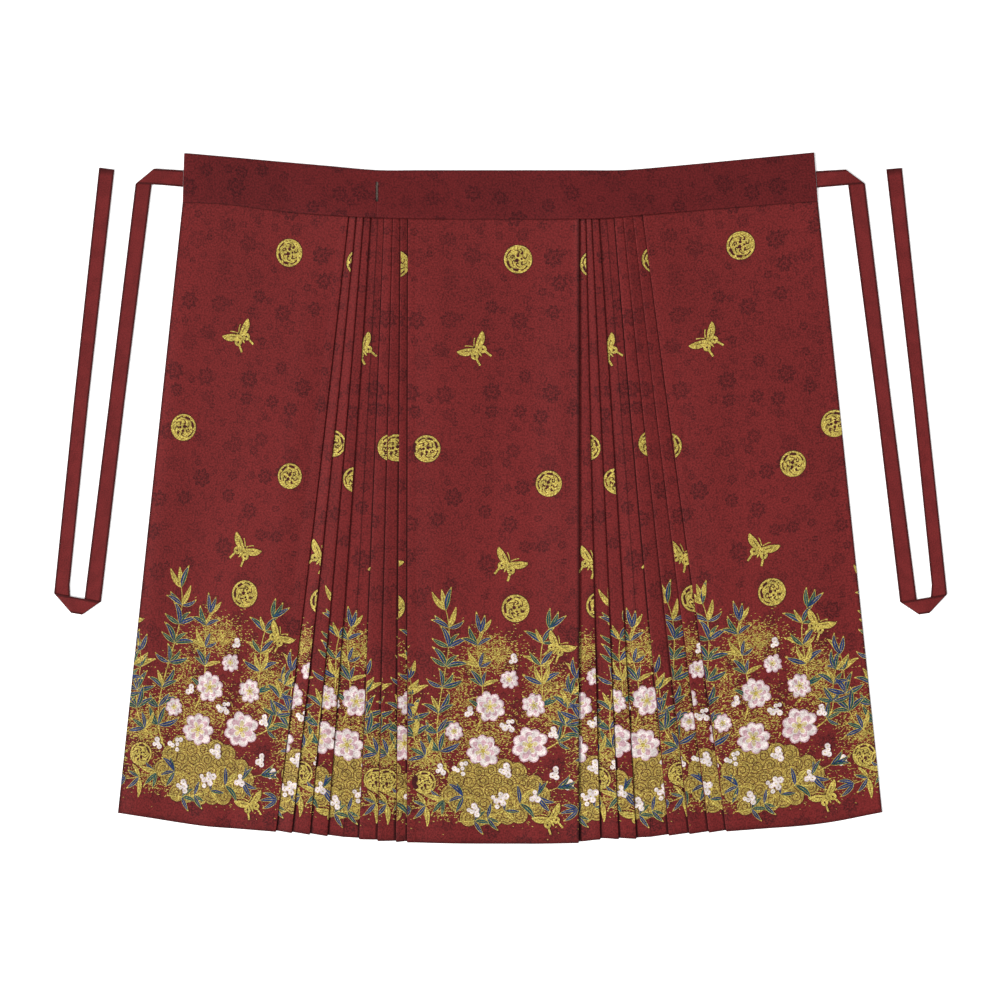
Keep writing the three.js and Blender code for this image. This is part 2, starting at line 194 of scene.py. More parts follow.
class Pleats:
    """Folds that all face right, from a flat panel inwards, with the underfold behind each."""

    def __init__(self, edges, anchors, lines, way):
        self.edges = edges
        self.anchors = anchors   # where the woven repeat stands at each edge
        self.lines = lines       # how dark and broad the painted shade line under each edge is
        self.way = way           # 1 as sewn, -1 for a group seen in a mirror
        covers = [edges[1] - edges[0]] + [b - a for a, b in zip(edges, edges[1:])]
        self.inner = [edge - UNDERFOLD * cover for edge, cover in zip(edges, covers)]

    def rise(self, strip, x):
        """Height of the underside of a strip; strip 0 is the flat panel."""
        height = np.zeros(np.shape(x))
        for i in range(strip, len(self.edges)):
            start = self.inner[0] - RAMP if i == 0 else self.inner[i - 1]
            t = (x - start) / (self.inner[i] - start)
            height = height + 2 * LAYER * (smooth(t) if i == 0 else np.clip(t, 0, 1))
        return height

    def repeat_at(self, strip, x):
        """Place across the woven repeat at an x on a strip."""
        return self.anchors[strip] + self.way * (x - self.edges[strip])


# Where the woven repeat stands at each fold edge, and how dark the painted shade line under it is
LEFT_ANCHORS = [232, 147, 46, 201, 113, 5, 15, 167, 0]
LEFT_SHADE_LINES = [0.4, 0.3, 0.35, 0.45, 0.75, 1.0, 0.85, 1.05, 1.5]
RIGHT_ANCHORS = [247, 149, 50, 204, 113, 1, 50, 134, 34]
RIGHT_SHADE_LINES = [0.1, 0.15, 0.15, 0.35, 0.7, 1.1, 0.7, 0.6, 0.8]
LEFT_GROUP = (LEFT_FOLDS, LEFT_ANCHORS, LEFT_SHADE_LINES)
RIGHT_GROUP = (RIGHT_FOLDS, RIGHT_ANCHORS, RIGHT_SHADE_LINES)


def right_facing(group, share):
    """The right-facing folds of a group at a share of the way down."""
    folds, anchors, lines = group
    return Pleats([edge_x(fold, share) for fold in folds[:CREASE]], anchors[:CREASE], lines[:CREASE], 1)


def left_facing(group, share):
    """The left-facing folds of a group, seen in a mirror."""
    folds, anchors, lines = group
    edges = [-edge_x(fold, share) for fold in folds[:CREASE:-1]]
    return Pleats(edges, anchors[:CREASE:-1], lines[:CREASE:-1], -1)


def painted_fold_line(strength):
    """Shares of the strip beside a fold edge, and how dark the painted shade is there."""
    at_waist = max(0.5, min(strength, 0.9))
    line = strength * (at_waist + (1 - at_waist) * smooth(ROWS / 0.3))
    line = np.maximum(line, 0.9 * smooth((ROWS - 0.5) / 0.3))
    dark, broad = np.minimum(line, 1), np.maximum(line, 0.7)
    return [(-0.05, dark), (0.03, dark), (0.03 + 0.07 * broad, 0.75 * dark), (0.03 + 0.15 * broad, 0)]


def add_fold(path, x, underside, side, u=0.0):
    """Adds a half turn to a section, from the top layer to the one below."""
    for s in range(FOLD_STEPS + 1):
        angle = np.pi * s / FOLD_STEPS
        z = underside + SOLID_CLOTH / 2 - FOLD_RADIUS * (1 - np.cos(angle))
        # painted shade that deepens over the turn
        path.append((x + side * FOLD_RADIUS * np.sin(angle), z, u, FOLD_SHADE * s / FOLD_STEPS))


# Distance from a free edge, and how dark the painted shade is there
FREE_EDGE_SHADE = [(0, 0.75), (1.5, 0.6), (4.5, 0)]


def panel_path(pleats, free, across=(), lie=None, flat_steps=24, ramp_steps=14):
    """Section of a flat panel from its free edge to the fold over the pleats, and under it."""
    lie = lie or (lambda x: pleats.rise(0, x))
    ramp_start = pleats.inner[0] - RAMP
    flat_start = across[-1] if across else free
    places = [free + off for off, shade in FREE_EDGE_SHADE] + list(across[1:])
    places += [flat_start + (ramp_start - flat_start) * s / flat_steps for s in range(1, flat_steps)]
    places += [ramp_start + RAMP * s / ramp_steps for s in range(ramp_steps + 1)]
    shades = [shade for off, shade in FREE_EDGE_SHADE] + [0] * (len(places) - len(FREE_EDGE_SHADE))
    path = [(x, lie(x) + SOLID_CLOTH / 2, 0, shade) for x, shade in zip(places, shades)]
    out = pleats.edges[0] - FOLD_REACH
    add_fold(path, out, pleats.rise(0, out), 1)
    path.append((pleats.inner[0], LAYER + SOLID_CLOTH / 2, 0, 1))
    return path


def mirrored(path):
    """The same section seen from the other side."""
    return [(-x, z, u, shade) for x, z, u, shade in reversed(path)]


# Shares of the way down at which the cloth has a row of points, closer together at the seam and hem
ROWS = np.concatenate([[0, 0.0014, 0.0034], np.linspace(0.009, 0.996, 110), [0.9985, 1]])


def columns_of(path):
    """The section's x, z, repeat and shade as grids of rows and columns."""
    ones = np.ones(len(ROWS))
    return [np.stack([ones * point[i] for point in path], axis=1) for i in range(4)]


def new_piece(name, points, faces, uv=None, shade=None, materials=(), slots=None, smooth_angle=None):
    """A mesh object from points in millimetres, with its cloth coordinates and its painted shade along
    folds, seams and edges.
    """
    mesh = bpy.data.meshes.new(name)
    mesh.from_pydata((np.asarray(points) * MM).tolist(), [], faces)
    if uv is not None:
        layer = mesh.uv_layers.new(name="weave")
        corner = np.empty(len(mesh.loops), dtype=int)
        mesh.loops.foreach_get("vertex_index", corner)
        layer.data.foreach_set("uv", (np.asarray(uv)[corner] * MM).ravel())
    if shade is not None:
        mesh.attributes.new("shade", "FLOAT", "POINT").data.foreach_set("value", np.asarray(shade, float))
    for material in materials:
        mesh.materials.append(material)
    if slots is not None:
        mesh.polygons.foreach_set("material_index", slots)
    if smooth_angle is not None:
        mesh.shade_smooth()
        mesh.set_sharp_from_angle(angle=np.radians(smooth_angle))
    mesh.validate()
    piece = bpy.data.objects.new(name, mesh)
    bpy.context.collection.objects.link(piece)
    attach(piece, "root")
    return piece


def closed_grid(face, back):
    """Points and faces of a closed solid between two grids of points."""
    rows, columns = face.shape[:2]
    points = np.stack([face, back], axis=2).reshape(-1, 3)
    number = np.arange(rows * columns * 2).reshape(rows, columns, 2)
    front, rear = number[..., 0], number[..., 1]

    def quads(a, b, c, d):
        return np.stack([a.ravel(), b.ravel(), c.ravel(), d.ravel()], axis=1)

    faces = [
        quads(front[:-1, :-1], front[1:, :-1], front[1:, 1:], front[:-1, 1:]),
        quads(rear[:-1, :-1], rear[:-1, 1:], rear[1:, 1:], rear[1:, :-1]),
        quads(front[:-1, 0], rear[:-1, 0], rear[1:, 0], front[1:, 0]),
        quads(front[:-1, -1], front[1:, -1], rear[1:, -1], rear[:-1, -1]),
        quads(front[0, :-1], front[0, 1:], rear[0, 1:], rear[0, :-1]),
        quads(front[-1, :-1], rear[-1, :-1], rear[-1, 1:], front[-1, 1:]),
    ]
    return points, np.concatenate(faces).tolist()


# Shares of the way down, and how dark the painted shade is there, at the waist seam and at the hem
SEAM_SHADE = [(0, 0.6), (0.0014, 0.5), (0.0034, 0), (0.988, 0), (0.996, 0.35), (1, 0.7)]


def cloth_piece(name, path, node, material, repeat=None, shorter=0):
    """A sheet of cloth along a section, from waist to hem, in place of its solid."""
    x, z, u, shade = columns_of(path)
    share = ROWS[:, None] + np.zeros_like(x)
    top = waist_y(x[0]) + SEAM_TURN
    y = top + (hem_y(x[-1]) + shorter - top) * share
    step = np.stack([np.diff(x, axis=1), np.diff(z, axis=1)])
    step /= np.maximum(np.hypot(*step), 1e-9)
    before = np.concatenate([step[:, :, :1], step], axis=2)
    after = np.concatenate([step, step[:, :, -1:]], axis=2)
    reach = CLOTH / 2 / np.maximum(1 + (before * after).sum(0), 0.3)
    out_x, out_z = -(before[1] + after[1]) * reach, (before[0] + after[0]) * reach
    lift = drape(x, share)
    face = np.stack([x + out_x, y, z + out_z + lift], axis=2)
    back = np.stack([x - out_x, y, z - out_z + lift], axis=2)
    points, faces = closed_grid(face, back)
    if repeat is None:
        weave = np.stack([u, share * LENGTH], axis=2)
    else:
        weave = repeat(x, y)
    shade = np.maximum(shade, np.interp(share, *zip(*SEAM_SHADE)))
    piece = new_piece(name, points, faces, np.repeat(weave.reshape(-1, 2), 2, axis=0),
                      np.repeat(shade.ravel(), 2), [material], smooth_angle=40)
    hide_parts(node)
    widths = np.hypot(np.diff(x, axis=1), np.diff(z, axis=1)).sum(1) * MM
    length = float(np.abs(y[-1] - y[0]).mean()) * MM
    piece["cut"] = [float(widths.max()), length, float(widths.mean()) * length]
    return piece


def wire(tree, kind, *inputs, **settings):
    """Adds a shader node, sets it, and joins or fills its inputs in order."""
    node = tree.nodes.new("ShaderNode" + kind)
    for key, value in settings.items():
        setattr(node, key, value)
    for socket, value in zip(node.inputs, inputs):
        if isinstance(value, bpy.types.NodeSocket):
            tree.links.new(value, socket)
        elif value is not None:
            socket.default_value = value
    return node.outputs


def sum_of(tree, a, b):
    return wire(tree, "Math", a, b, operation="ADD")[0]


def times(tree, a, b):
    return wire(tree, "Math", a, b, operation="MULTIPLY")[0]


def ramp_to(tree, value, low, high, start=0.0, end=1.0):
    """Maps a value smoothly from one range to another."""
    return wire(tree, "MapRange", value, low, high, start, end, interpolation_type="SMOOTHSTEP")[0]


def new_material(name, roughness, specular):
    """A cloth material with its constant values set, and its colour left to be wired."""
    material = bpy.data.materials.new(name)
    material.use_nodes = True
    tree = material.node_tree
    surface = tree.nodes["Principled BSDF"]
    surface.inputs["Roughness"].default_value = roughness
    surface.inputs["Specular IOR Level"].default_value = specular
    return material, tree, surface


def woven_sprigs(tree, weave, spacing, size, petals, offset):
    """Mask of scattered rosettes, one in each cell, each turned and sized by chance."""
    shifted = wire(tree, "VectorMath", weave, (offset, offset * 1.7, 0), operation="ADD")[0]
    cell = wire(tree, "TexVoronoi", shifted, None, 1 / (spacing * MM), None, None, None, None, None,
                0.7, voronoi_dimensions="2D")
    luck = wire(tree, "SeparateColor", cell["Color"])
    off = wire(tree, "VectorMath", shifted, cell["Position"], operation="SUBTRACT")[0]
    parts = wire(tree, "SeparateXYZ", off)
    radius = wire(tree, "VectorMath", off, operation="LENGTH")["Value"]
    angle = wire(tree, "Math", parts[1], parts[0], operation="ARCTAN2")[0]
    turned = sum_of(tree, times(tree, angle, petals / 2), times(tree, luck[0], 2 * np.pi))
    petal = wire(tree, "Math", wire(tree, "Math", turned, operation="COSINE")[0], operation="ABSOLUTE")[0]
    lobes = sum_of(tree, 0.66, times(tree, petal, 0.34))
    reach = times(tree, lobes, ramp_to(tree, luck[1], 0, 1, size * 0.36 * MM, size * 0.52 * MM))
    out = wire(tree, "Math", radius, reach, operation="DIVIDE")[0]
    heart = ramp_to(tree, out, 0.2, 0.32, 1, 0.25)
    rosette = wire(tree, "Math", heart, ramp_to(tree, out, 0.4, 0.52), operation="MAXIMUM")[0]
    rosette = times(tree, rosette, ramp_to(tree, out, 0.9, 1.05, 1, 0))
    return times(tree, rosette, ramp_to(tree, luck[2], 0, 0.7, 0.4, 1))


def noise(tree, place, scale, detail, rough=None):
    """Soft uneven values over the cloth, and the same as a colour."""
    return wire(tree, "TexNoise", place, None, scale, detail, rough, noise_dimensions="2D")


THREAD_RELIEF = 0.0004           # in metres


def finish(tree, surface, colour, light, relief, bump):
    """Joins a colour, how light it is in each place, and the relief of the threads to a surface."""
    colour = wire(tree, "VectorMath", colour, None, None, light, operation="SCALE")[0]
    tree.links.new(colour, surface.inputs["Base Color"])
    tree.links.new(wire(tree, "Bump", bump, THREAD_RELIEF, None, relief)[0], surface.inputs["Normal"])


def mixed(tree, share, first, second):
    """A colour between two, by a share that varies over the cloth."""
    return wire(tree, "Mix", share, None, None, None, None, None, first, second, data_type="RGBA")[2]


# Kinds of sprig: spacing, size, petals, where the pattern starts, and how strongly it shows
SPRIGS = [(50, 29, 7, 0.31, 0.95), (41, 15, 5, 0.77, 0.85), (29, 13, 2, 0.13, 0.55)]


def damask(name, ground, figure, strength=1.0):
    """Satin with tone-on-tone sprigs, a fine net of vines between them, and painted shade along folds, seams
    and edges.
    """
    material, tree, surface = new_material(name, 0.6, 0.1)
    weave = wire(tree, "UVMap", uv_map="weave")[0]
    yarn = noise(tree, weave, 400, 3.0, 0.75)[0]
    twill = wire(tree, "TexWave", weave, 450, 2.0, 1.0, 2.0, bands_direction="DIAGONAL")[1]
    wander = noise(tree, weave, 60, 2.0)[1]
    bent = wire(tree, "VectorMath", wander, (0.016, 0.016, 0), operation="MULTIPLY")[0]
    bent = wire(tree, "VectorMath", weave, bent, operation="ADD")[0]
    net = wire(tree, "TexVoronoi", bent, None, 85, voronoi_dimensions="2D", feature="DISTANCE_TO_EDGE")[0]
    patchy = noise(tree, weave, 40, 3.0, 0.6)[0]
    vines = times(tree, ramp_to(tree, net, 0.03, 0.13, 1, 0), ramp_to(tree, patchy, 0.42, 0.6, 0, 0.55))
    figured = vines              # sprigs and vines together, 0 on the plain ground and 1 on a figure
    for spacing, size, petals, offset, share in SPRIGS:
        sprigs = times(tree, woven_sprigs(tree, weave, spacing, size, petals, offset), share)
        figured = wire(tree, "Math", figured, sprigs, operation="MAXIMUM")[0]
    figured = times(tree, figured, ramp_to(tree, yarn, 0.42, 0.62, 1.1, 0.5))
    colour = mixed(tree, times(tree, figured, strength), (*ground, 1), (*figure, 1))
    # broad soft bands of uneven tone, which also stand in for painted shade of the drape
    broad_place = wire(tree, "VectorMath", weave, (7, 1.6, 0), operation="MULTIPLY")[0]
    broad = noise(tree, broad_place, 1.0, 2.0, 0.5)[0]
    light = ramp_to(tree, yarn, 0.3, 0.7, 0.66, 1.38)
    light = sum_of(tree, light, ramp_to(tree, broad, 0.3, 0.7, -0.07, 0.07))
    light = sum_of(tree, light, ramp_to(tree, twill, 0, 1, -0.04, 0.04))
    # painted shade along folds, seams and edges, read from the shade attribute
    shade = wire(tree, "Attribute", attribute_name="shade")["Fac"]
    light = times(tree, light, ramp_to(tree, shade, 0, 1, 1, 0.2))
    relief = sum_of(tree, times(tree, figured, 0.4), times(tree, twill, 0.25))
    relief = sum_of(tree, times(tree, yarn, 0.5), relief)
    finish(tree, surface, colour, light, relief, 0.25)
    return material


SKIRT_RED = (0.133, 0.0135, 0.0135)
SKIRT_FIGURE = (0.064, 0.0078, 0.0085)
figured_satin = damask("figured_satin", SKIRT_RED, SKIRT_FIGURE)

# The repeat is a little askew on the outer panels: its corner, and its ways across and down
LEFT_REPEAT = np.array([(-445.2, 432.9), (0.908, -0.124), (-0.122, -0.978)])
RIGHT_REPEAT = np.array([(183.6, 402.3), (0.998, 0.139), (0.095, -0.992)])


def repeat_on(repeat):
    """Turns a place on the skirt into one in the woven repeat."""
    back = np.linalg.inv(repeat[1:])
    return lambda x, y: (np.stack([x, y], axis=-1) - repeat[0]) @ back


left_panel = cloth_piece(
    "left_panel_cloth",
    panel_path(right_facing(LEFT_GROUP, ROWS), edge_x(LEFT_EDGE, ROWS)),
    "left_panel", figured_satin, repeat_on(LEFT_REPEAT),
)

# Left pleats. The same cloth pressed into three folds that face right and three that face left, either
# side of a flat box with a faint crease. The edges of the panel and of the middle face are the fourth fold
# on each side. They are held by the waistband and spread towards the hem.
CREASE_SHADE_LINE = [(-1.5, 0), (-0.6, 0.8), (0.6, 0.8), (1.5, 0)]   # distance from the crease, and how dark the painted shade line is there
BETWEEN = (0.35, 0.7)            # where a strip has more points, as shares of its way to its fold


def pleat_path(pleats):
    """Section of one side of a pleat group, from under the flat panel to the bottom of the box."""
    edges, inner = pleats.edges, pleats.inner
    path = [(inner[0], SOLID_CLOTH / 2, pleats.repeat_at(1, inner[0]), 1)]
    for i in range(1, len(edges)):
        cover = edges[i] - edges[i - 1]
        for off, shade in painted_fold_line(pleats.lines[i - 1]):
            x = edges[i - 1] + off * cover
            z = 2 * LAYER * (x - inner[i - 1]) / (inner[i] - inner[i - 1]) + SOLID_CLOTH / 2
            path.append((x, z, pleats.repeat_at(i, x), shade))
        path.append((inner[i], 2 * LAYER + SOLID_CLOTH / 2, pleats.repeat_at(i, inner[i]), 0))
        out = edges[i] - FOLD_REACH
        back = inner[i] + FOLD_REACH
        for part in BETWEEN:
            x = inner[i] + (out - inner[i]) * part
            path.append((x, pleats.rise(i, x) + SOLID_CLOTH / 2, pleats.repeat_at(i, x), 0))
        add_fold(path, out, pleats.rise(i, out), 1, pleats.anchors[i])
        add_fold(path, back, pleats.rise(i, back) - LAYER, -1, pleats.anchors[i])
    return path


def box_half(pleats, crease, anchor):
    """The bottom of the box, from the last fold to just short of the crease."""
    last = pleats.edges[-1]
    points = []
    for off, shade in painted_fold_line(pleats.lines[-1]) + [(0.6, 0)]:
        x = last + off * (crease - last)
        z = SOLID_CLOTH / 2 + CREASE_RISE * np.maximum(off, 0)
        points.append((x, z, anchor + pleats.way * (x - crease), shade))
    return points


def pleat_group(name, group, node):
    """The folds that face right, the box, and the folds that face left, as one sheet."""
    folds, anchors, lines = group
    rights, lefts = right_facing(group, ROWS), left_facing(group, ROWS)
    crease, anchor = edge_x(folds[CREASE], ROWS), anchors[CREASE]
    path = pleat_path(rights) + box_half(rights, crease, anchor)
    for off, shade in CREASE_SHADE_LINE:
        path.append((crease + off, CREASE_RISE + SOLID_CLOTH / 2, anchor + off, shade * lines[CREASE]))
    path += mirrored(pleat_path(lefts) + box_half(lefts, -crease, anchor))
    return cloth_piece(name, path, node, figured_satin)


left_pleats = pleat_group("left_pleats_cloth", LEFT_GROUP, "left_pleats")

# Lower middle face. The flat face of the other half skirt, which the upper one hides. It is plain
# damask, folds over the right pleats and stops short of the left ones.
LOWER_FACE_INSET = 3             # from the last inner fold of the left pleats to its free edge
LOWER_FACE_SHORT = 1.5           # it ends this much above the hem

own = left_facing(LEFT_GROUP, ROWS)
below = right_facing(RIGHT_GROUP, ROWS)


def straight_repeat(x, y):
    """The repeat on the middle faces, which lie straight."""
    return np.stack([x - edge_x(LEFT_FOLDS[-1], 0), waist_y(x) - y], axis=-1)


lower_face = cloth_piece(
    "lower_face_cloth", panel_path(below, -own.inner[0] + LOWER_FACE_INSET),
    "centre_panel_lower", figured_satin, straight_repeat, LOWER_FACE_SHORT,
)

# Upper middle face. The flat middle face of the upper half skirt, which lies on the lower one. Its left
# edge is folded back over the left pleats and its right edge is free, on the fold of the lower face.
LOWER_RAMP_STEPS = 12
across = [-below.edges[0]]
across += [RAMP * (1 - s / LOWER_RAMP_STEPS) - below.inner[0] for s in range(LOWER_RAMP_STEPS, -1, -1)]


def face_lie(left_pleats_below, right_pleats_below, x):
    """Height of the upper face's underside, with x as seen in a mirror."""
    over_left = left_pleats_below.rise(0, x)
    over_lower = LAYER + over_left / 2 + right_pleats_below.rise(0, -x)
    return np.where(x > left_pleats_below.inner[0], over_left, over_lower)


upper_face = cloth_piece(
    "upper_face_cloth",
    mirrored(panel_path(own, -below.edges[0], across, lambda x: face_lie(own, below, x))),
    "centre_panel", figured_satin, straight_repeat,
)

# Right pleats. The same pleats in the other half skirt, from the fold of the lower face to the right
# outer panel.
right_pleats = pleat_group("right_pleats_cloth", RIGHT_GROUP, "right_pleats")

# Right outer panel. The flat outer face of the lower half skirt, with its free edge on the right.
over_pleats = left_facing(RIGHT_GROUP, ROWS)
right_panel = cloth_piece(
    "right_panel_cloth", mirrored(panel_path(over_pleats, -edge_x(RIGHT_EDGE, ROWS))),
    "right_panel", figured_satin, repeat_on(RIGHT_REPEAT),
)

# Woven figures. Gold thread and coloured silk are brought to the face of the satin as it is woven: gold
# roundels and butterflies over the whole skirt, and a deep border of blossoms above the hem. One repeat
# is drawn flat, and each visible strip of cloth carries the part of it that the pleats leave showing.
REPEAT = 242.5                   # width of one repeat
FIGURE_LIFT = 0.12               # the lowest threads, above the face of the cloth
LEVEL = 0.05                     # from one level of threads to the next
SMALL = 10                       # the longest side of a woven triangle
SLIVER = 0.004                   # triangles of less than half this many square millimetres are left out
LEVEL_FROM = 330                 # from here down the pleats' repeat is level with that of the faces
ROUNDS = 6                       # in which a place on an outer panel is found
GOLD, OUTLINE, BLUE, GREEN, PINK, WHITE, CREAM, DULL_GOLD = range(8)
chance = np.random.default_rng(11)


class Drawing:
    """Flat shapes in the repeat, u to the right and t down from the waist seam, cut into triangles."""

    def __init__(self):
        self.corners, self.thread, self.level = [], [], []

    def add(self, triangles, thread, level):
        self.corners.append(triangles)
        self.thread.append(np.full(len(triangles), thread))
        self.level.append(np.full(len(triangles), float(level)))

    def between(self, left, right, thread, level):
        """Fills between two lines of points."""
        first = np.stack([left[:-1], right[:-1], right[1:]], axis=1)
        second = np.stack([left[:-1], right[1:], left[1:]], axis=1)
        self.add(np.concatenate([first, second]), thread, level)

    def stroke(self, line, width, thread, level, start=-0.5, end=0.5):
        """A line of thread along points, from one share of its width to another."""
        way = np.gradient(line, axis=0)
        way /= np.maximum(np.linalg.norm(way, axis=1), 1e-9)[:, None]
        side = np.stack([-way[:, 1], way[:, 0]], axis=1) * np.broadcast_to(width, len(line))[:, None]
        self.between(line + side * start, line + side * end, thread, level)

    def disc(self, middle, radius, thread, level, lobes=0, depth=0.0, turn=0.0):
        """A round or lobed shape."""
        angle = np.linspace(0, 2 * np.pi, (18 if radius > 4 else 9) + 5 * lobes)
        reach = radius * (1 + depth * np.cos(lobes * (angle - turn)))
        rim = np.array(middle) + np.stack([np.cos(angle), np.sin(angle)], axis=1) * reach[:, None]
        fan = np.stack([np.broadcast_to(middle, rim[1:].shape), rim[:-1], rim[1:]], axis=1)
        self.add(fan, thread, level)

    def ring(self, middle, radius, width, thread, level):
        """A round band of thread."""
        angle = np.linspace(0, 2 * np.pi, 29)
        way = np.stack([np.cos(angle), np.sin(angle)], axis=1)
        self.between(middle + way * (radius - width / 2), middle + way * (radius + width / 2), thread, level)

    def finished(self):
        """All triangles, with the long ones cut into four until they are small."""
        corners, thread, level = map(np.concatenate, (self.corners, self.thread, self.level))
        while True:
            longest = np.linalg.norm(corners - np.roll(corners, 1, axis=1), axis=2).max(1)
            big = longest > SMALL
            if not big.any():
                return corners, thread, level
            a, b, c = (corners[big][:, i] for i in range(3))
            ab, bc, ca = (a + b) / 2, (b + c) / 2, (c + a) / 2
            quarters = [np.stack(t, axis=1) for t in ((a, ab, ca), (ab, b, bc), (ca, bc, c), (ab, bc, ca))]
            corners = np.concatenate([corners[~big], *quarters])
            thread = np.concatenate([thread[~big], *[thread[big]] * 4])
            level = np.concatenate([level[~big], *[level[big]] * 4])


def bend(points, steps):
    """A smooth line that starts at the first point, ends at the last, and leans to those between."""
    t = np.linspace(0, 1, steps + 1)[:, None]
    layer = [np.array(p, float) + 0 * t for p in points]
    while len(layer) > 1:
        layer = [a + (b - a) * t for a, b in zip(layer, layer[1:])]
    return layer[0]


def away(start, angle, distance):
    """A point at an angle and a distance from another."""
    return np.array(start) + distance * np.array([np.cos(angle), np.sin(angle)])


def draw_roundel(drawing, middle, radius, turn, level):
    """A gold roundel: a thin rim, and a full blossom set to one side within it, cut by dark curls."""
    middle = np.array(middle, float)
    drawing.disc(middle, radius * 1.05, OUTLINE, level, 5, 0.02, turn)
    drawing.ring(middle, radius * 0.93, radius * 0.14, GOLD, level + 1)
    heart = away(middle, turn, radius * 0.09)
    drawing.disc(heart, radius * 0.78, GOLD, level + 1.5, 6, 0.05, turn)
    for k in range(7):
        at = turn + 0.5 + 2 * np.pi * k / 7 + chance.uniform(-0.15, 0.15)
        drawing.disc(away(middle, at, radius * 0.86), radius * 0.12, GOLD, level + 1.2)
        curl = bend([away(heart, at, radius * 0.66), away(heart, at + 0.7, radius * 0.62),
                     away(heart, at + 0.75, radius * 0.3), away(heart, at + 0.2, radius * 0.38)], 7)
        drawing.stroke(curl, radius * np.linspace(0.05, 0.11, 8), OUTLINE, level + 2.5)
    for k in range(3):
        at = turn + 1.1 + 2 * np.pi * k / 3
        cut = radius * chance.uniform(0.07, 0.15)
        drawing.disc(away(heart, at, radius * 0.2), cut, OUTLINE, level + 2.6)
        drawing.disc(away(heart, at + 0.9, radius * 0.48), radius * 0.07, OUTLINE, level + 2.6)


def draw_butterfly(drawing, middle, size, turn, level):
    """A gold butterfly: two narrow fore wings, two round hind wings with straight tails, and feelers."""
    up = turn - np.pi / 2
    for rim, thread, raised in ((1.5, OUTLINE, 0), (0.0, GOLD, 1.5)):
        for side in (-1, 1):
            tip = away(middle, up + side * 0.98, size * 0.54)
            wing = bend([away(middle, up, size * 0.03), away(middle, up + side * 1.25, size * 0.3), tip], 9)
            along = np.linspace(0, 1, 10)
            broad = size * 0.2 * np.sin(np.pi * (0.1 + 0.87 * along ** 1.1)) ** 0.8 + rim
            drawing.stroke(wing, broad, thread, level + raised)
            lobe = away(middle, up + side * 2.15, size * 0.17)
            drawing.disc(lobe, size * 0.105 + rim / 2, thread, level + raised + 0.3)
            tail = np.array([lobe, away(lobe, up + np.pi - side * 0.2, size * 0.3)])
            drawing.stroke(tail, size * 0.055 + rim * 0.5, thread, level + raised + 0.3)
    for side in (-1, 1):
        wing_mark = away(middle, up + side * 1.05, size * 0.13)
        drawing.stroke(np.array([wing_mark, away(wing_mark, up + side * 0.98, size * 0.2)]), size * 0.018,
                       OUTLINE, level + 3)
        drawing.disc(away(middle, up + side * 2.15, size * 0.17), size * 0.03, OUTLINE, level + 3)
        feeler = bend([away(middle, up, size * 0.1), away(middle, up + side * 0.35, size * 0.25),
                       away(middle, up + side * 0.55, size * 0.34)], 5)
        drawing.stroke(feeler, size * 0.026, GOLD, level + 2)
    body = np.array([away(middle, up, size * d) for d in (0.13, 0.06, -0.04, -0.15, -0.22)])
    drawing.stroke(body, size * np.array([0.04, 0.07, 0.075, 0.05, 0.02]), GOLD, level + 3.5)
    drawing.disc(away(middle, up, size * 0.1), size * 0.03, OUTLINE, level + 4)


def draw_dust(drawing, middle, reach, count):
    """A cloud of short gold floats that thins out from its middle."""
    place = np.array(middle) + chance.normal(0, 0.5, (count, 2)) * reach
    slant = chance.uniform(-0.7, 0.7, count)
    half = np.stack([np.cos(slant), np.sin(slant)], axis=1) * chance.uniform(0.6, 1.7, count)[:, None]
    side = np.stack([-np.sin(slant), np.cos(slant)], axis=1) * chance.uniform(0.25, 0.55, count)[:, None]
    corners = np.stack([place - half - side, place + half - side, place + half + side,
                        place - half + side], axis=1)
    drawing.add(corners[:, [0, 1, 2]], GOLD, 0)
    drawing.add(corners[:, [0, 2, 3]], GOLD, 0)


def draw_leaf(drawing, root, angle, length, width, level):
    """A long pointed leaf with a gold rim and rib, and silk on each side of it, or gold all over."""
    lean = chance.uniform(-0.25, 0.25)
    middle = away(away(root, angle, length * 0.55), angle + np.pi / 2, lean * length)
    axis = bend([root, middle, away(root, angle, length)], 8)
    body = width * np.sin(np.pi * np.linspace(0, 1, 9) ** 0.75) ** 1.1
    drawing.stroke(axis, body + 1.3, GOLD, level)
    kind = chance.random()
    if kind > 0.18:
        first, second = (BLUE, GREEN) if kind < 0.5 else (GREEN, GREEN) if kind < 0.66 else (BLUE, BLUE)
        drawing.stroke(axis[:8], body[:8], first, level + 1, -0.5, -0.04)
        drawing.stroke(axis[:8], body[:8], second, level + 1, 0.04, 0.5)
    else:
        drawing.stroke(axis[1:8], 0.5, OUTLINE, level + 1)


def draw_spray(drawing, points, nodes, size, level):
    """A gold stem with four leaves at each node and three at its end."""
    line = bend(points, 26)
    drawing.stroke(line, np.linspace(2.1, 1.0, 27), GOLD, level)
    for k in range(nodes):
        i = int(3 + (k + 0.5) * 22 / nodes)
        way = line[i + 1] - line[i]
        for open_angle in (-1.15, -0.55, 0.55, 1.15):
            turn = np.arctan2(way[1], way[0]) + open_angle + chance.uniform(-0.22, 0.22)
            length = size * chance.uniform(0.7, 1.15)
            draw_leaf(drawing, line[i], turn, length, length * 0.21, level + chance.uniform(0.5, 6))
    way = line[-1] - line[-3]
    for open_angle in (-0.45, 0.0, 0.45):
        turn = np.arctan2(way[1], way[0]) + open_angle
        draw_leaf(drawing, line[-1], turn, size * chance.uniform(0.85, 1.1), size * 0.21, level + 7)


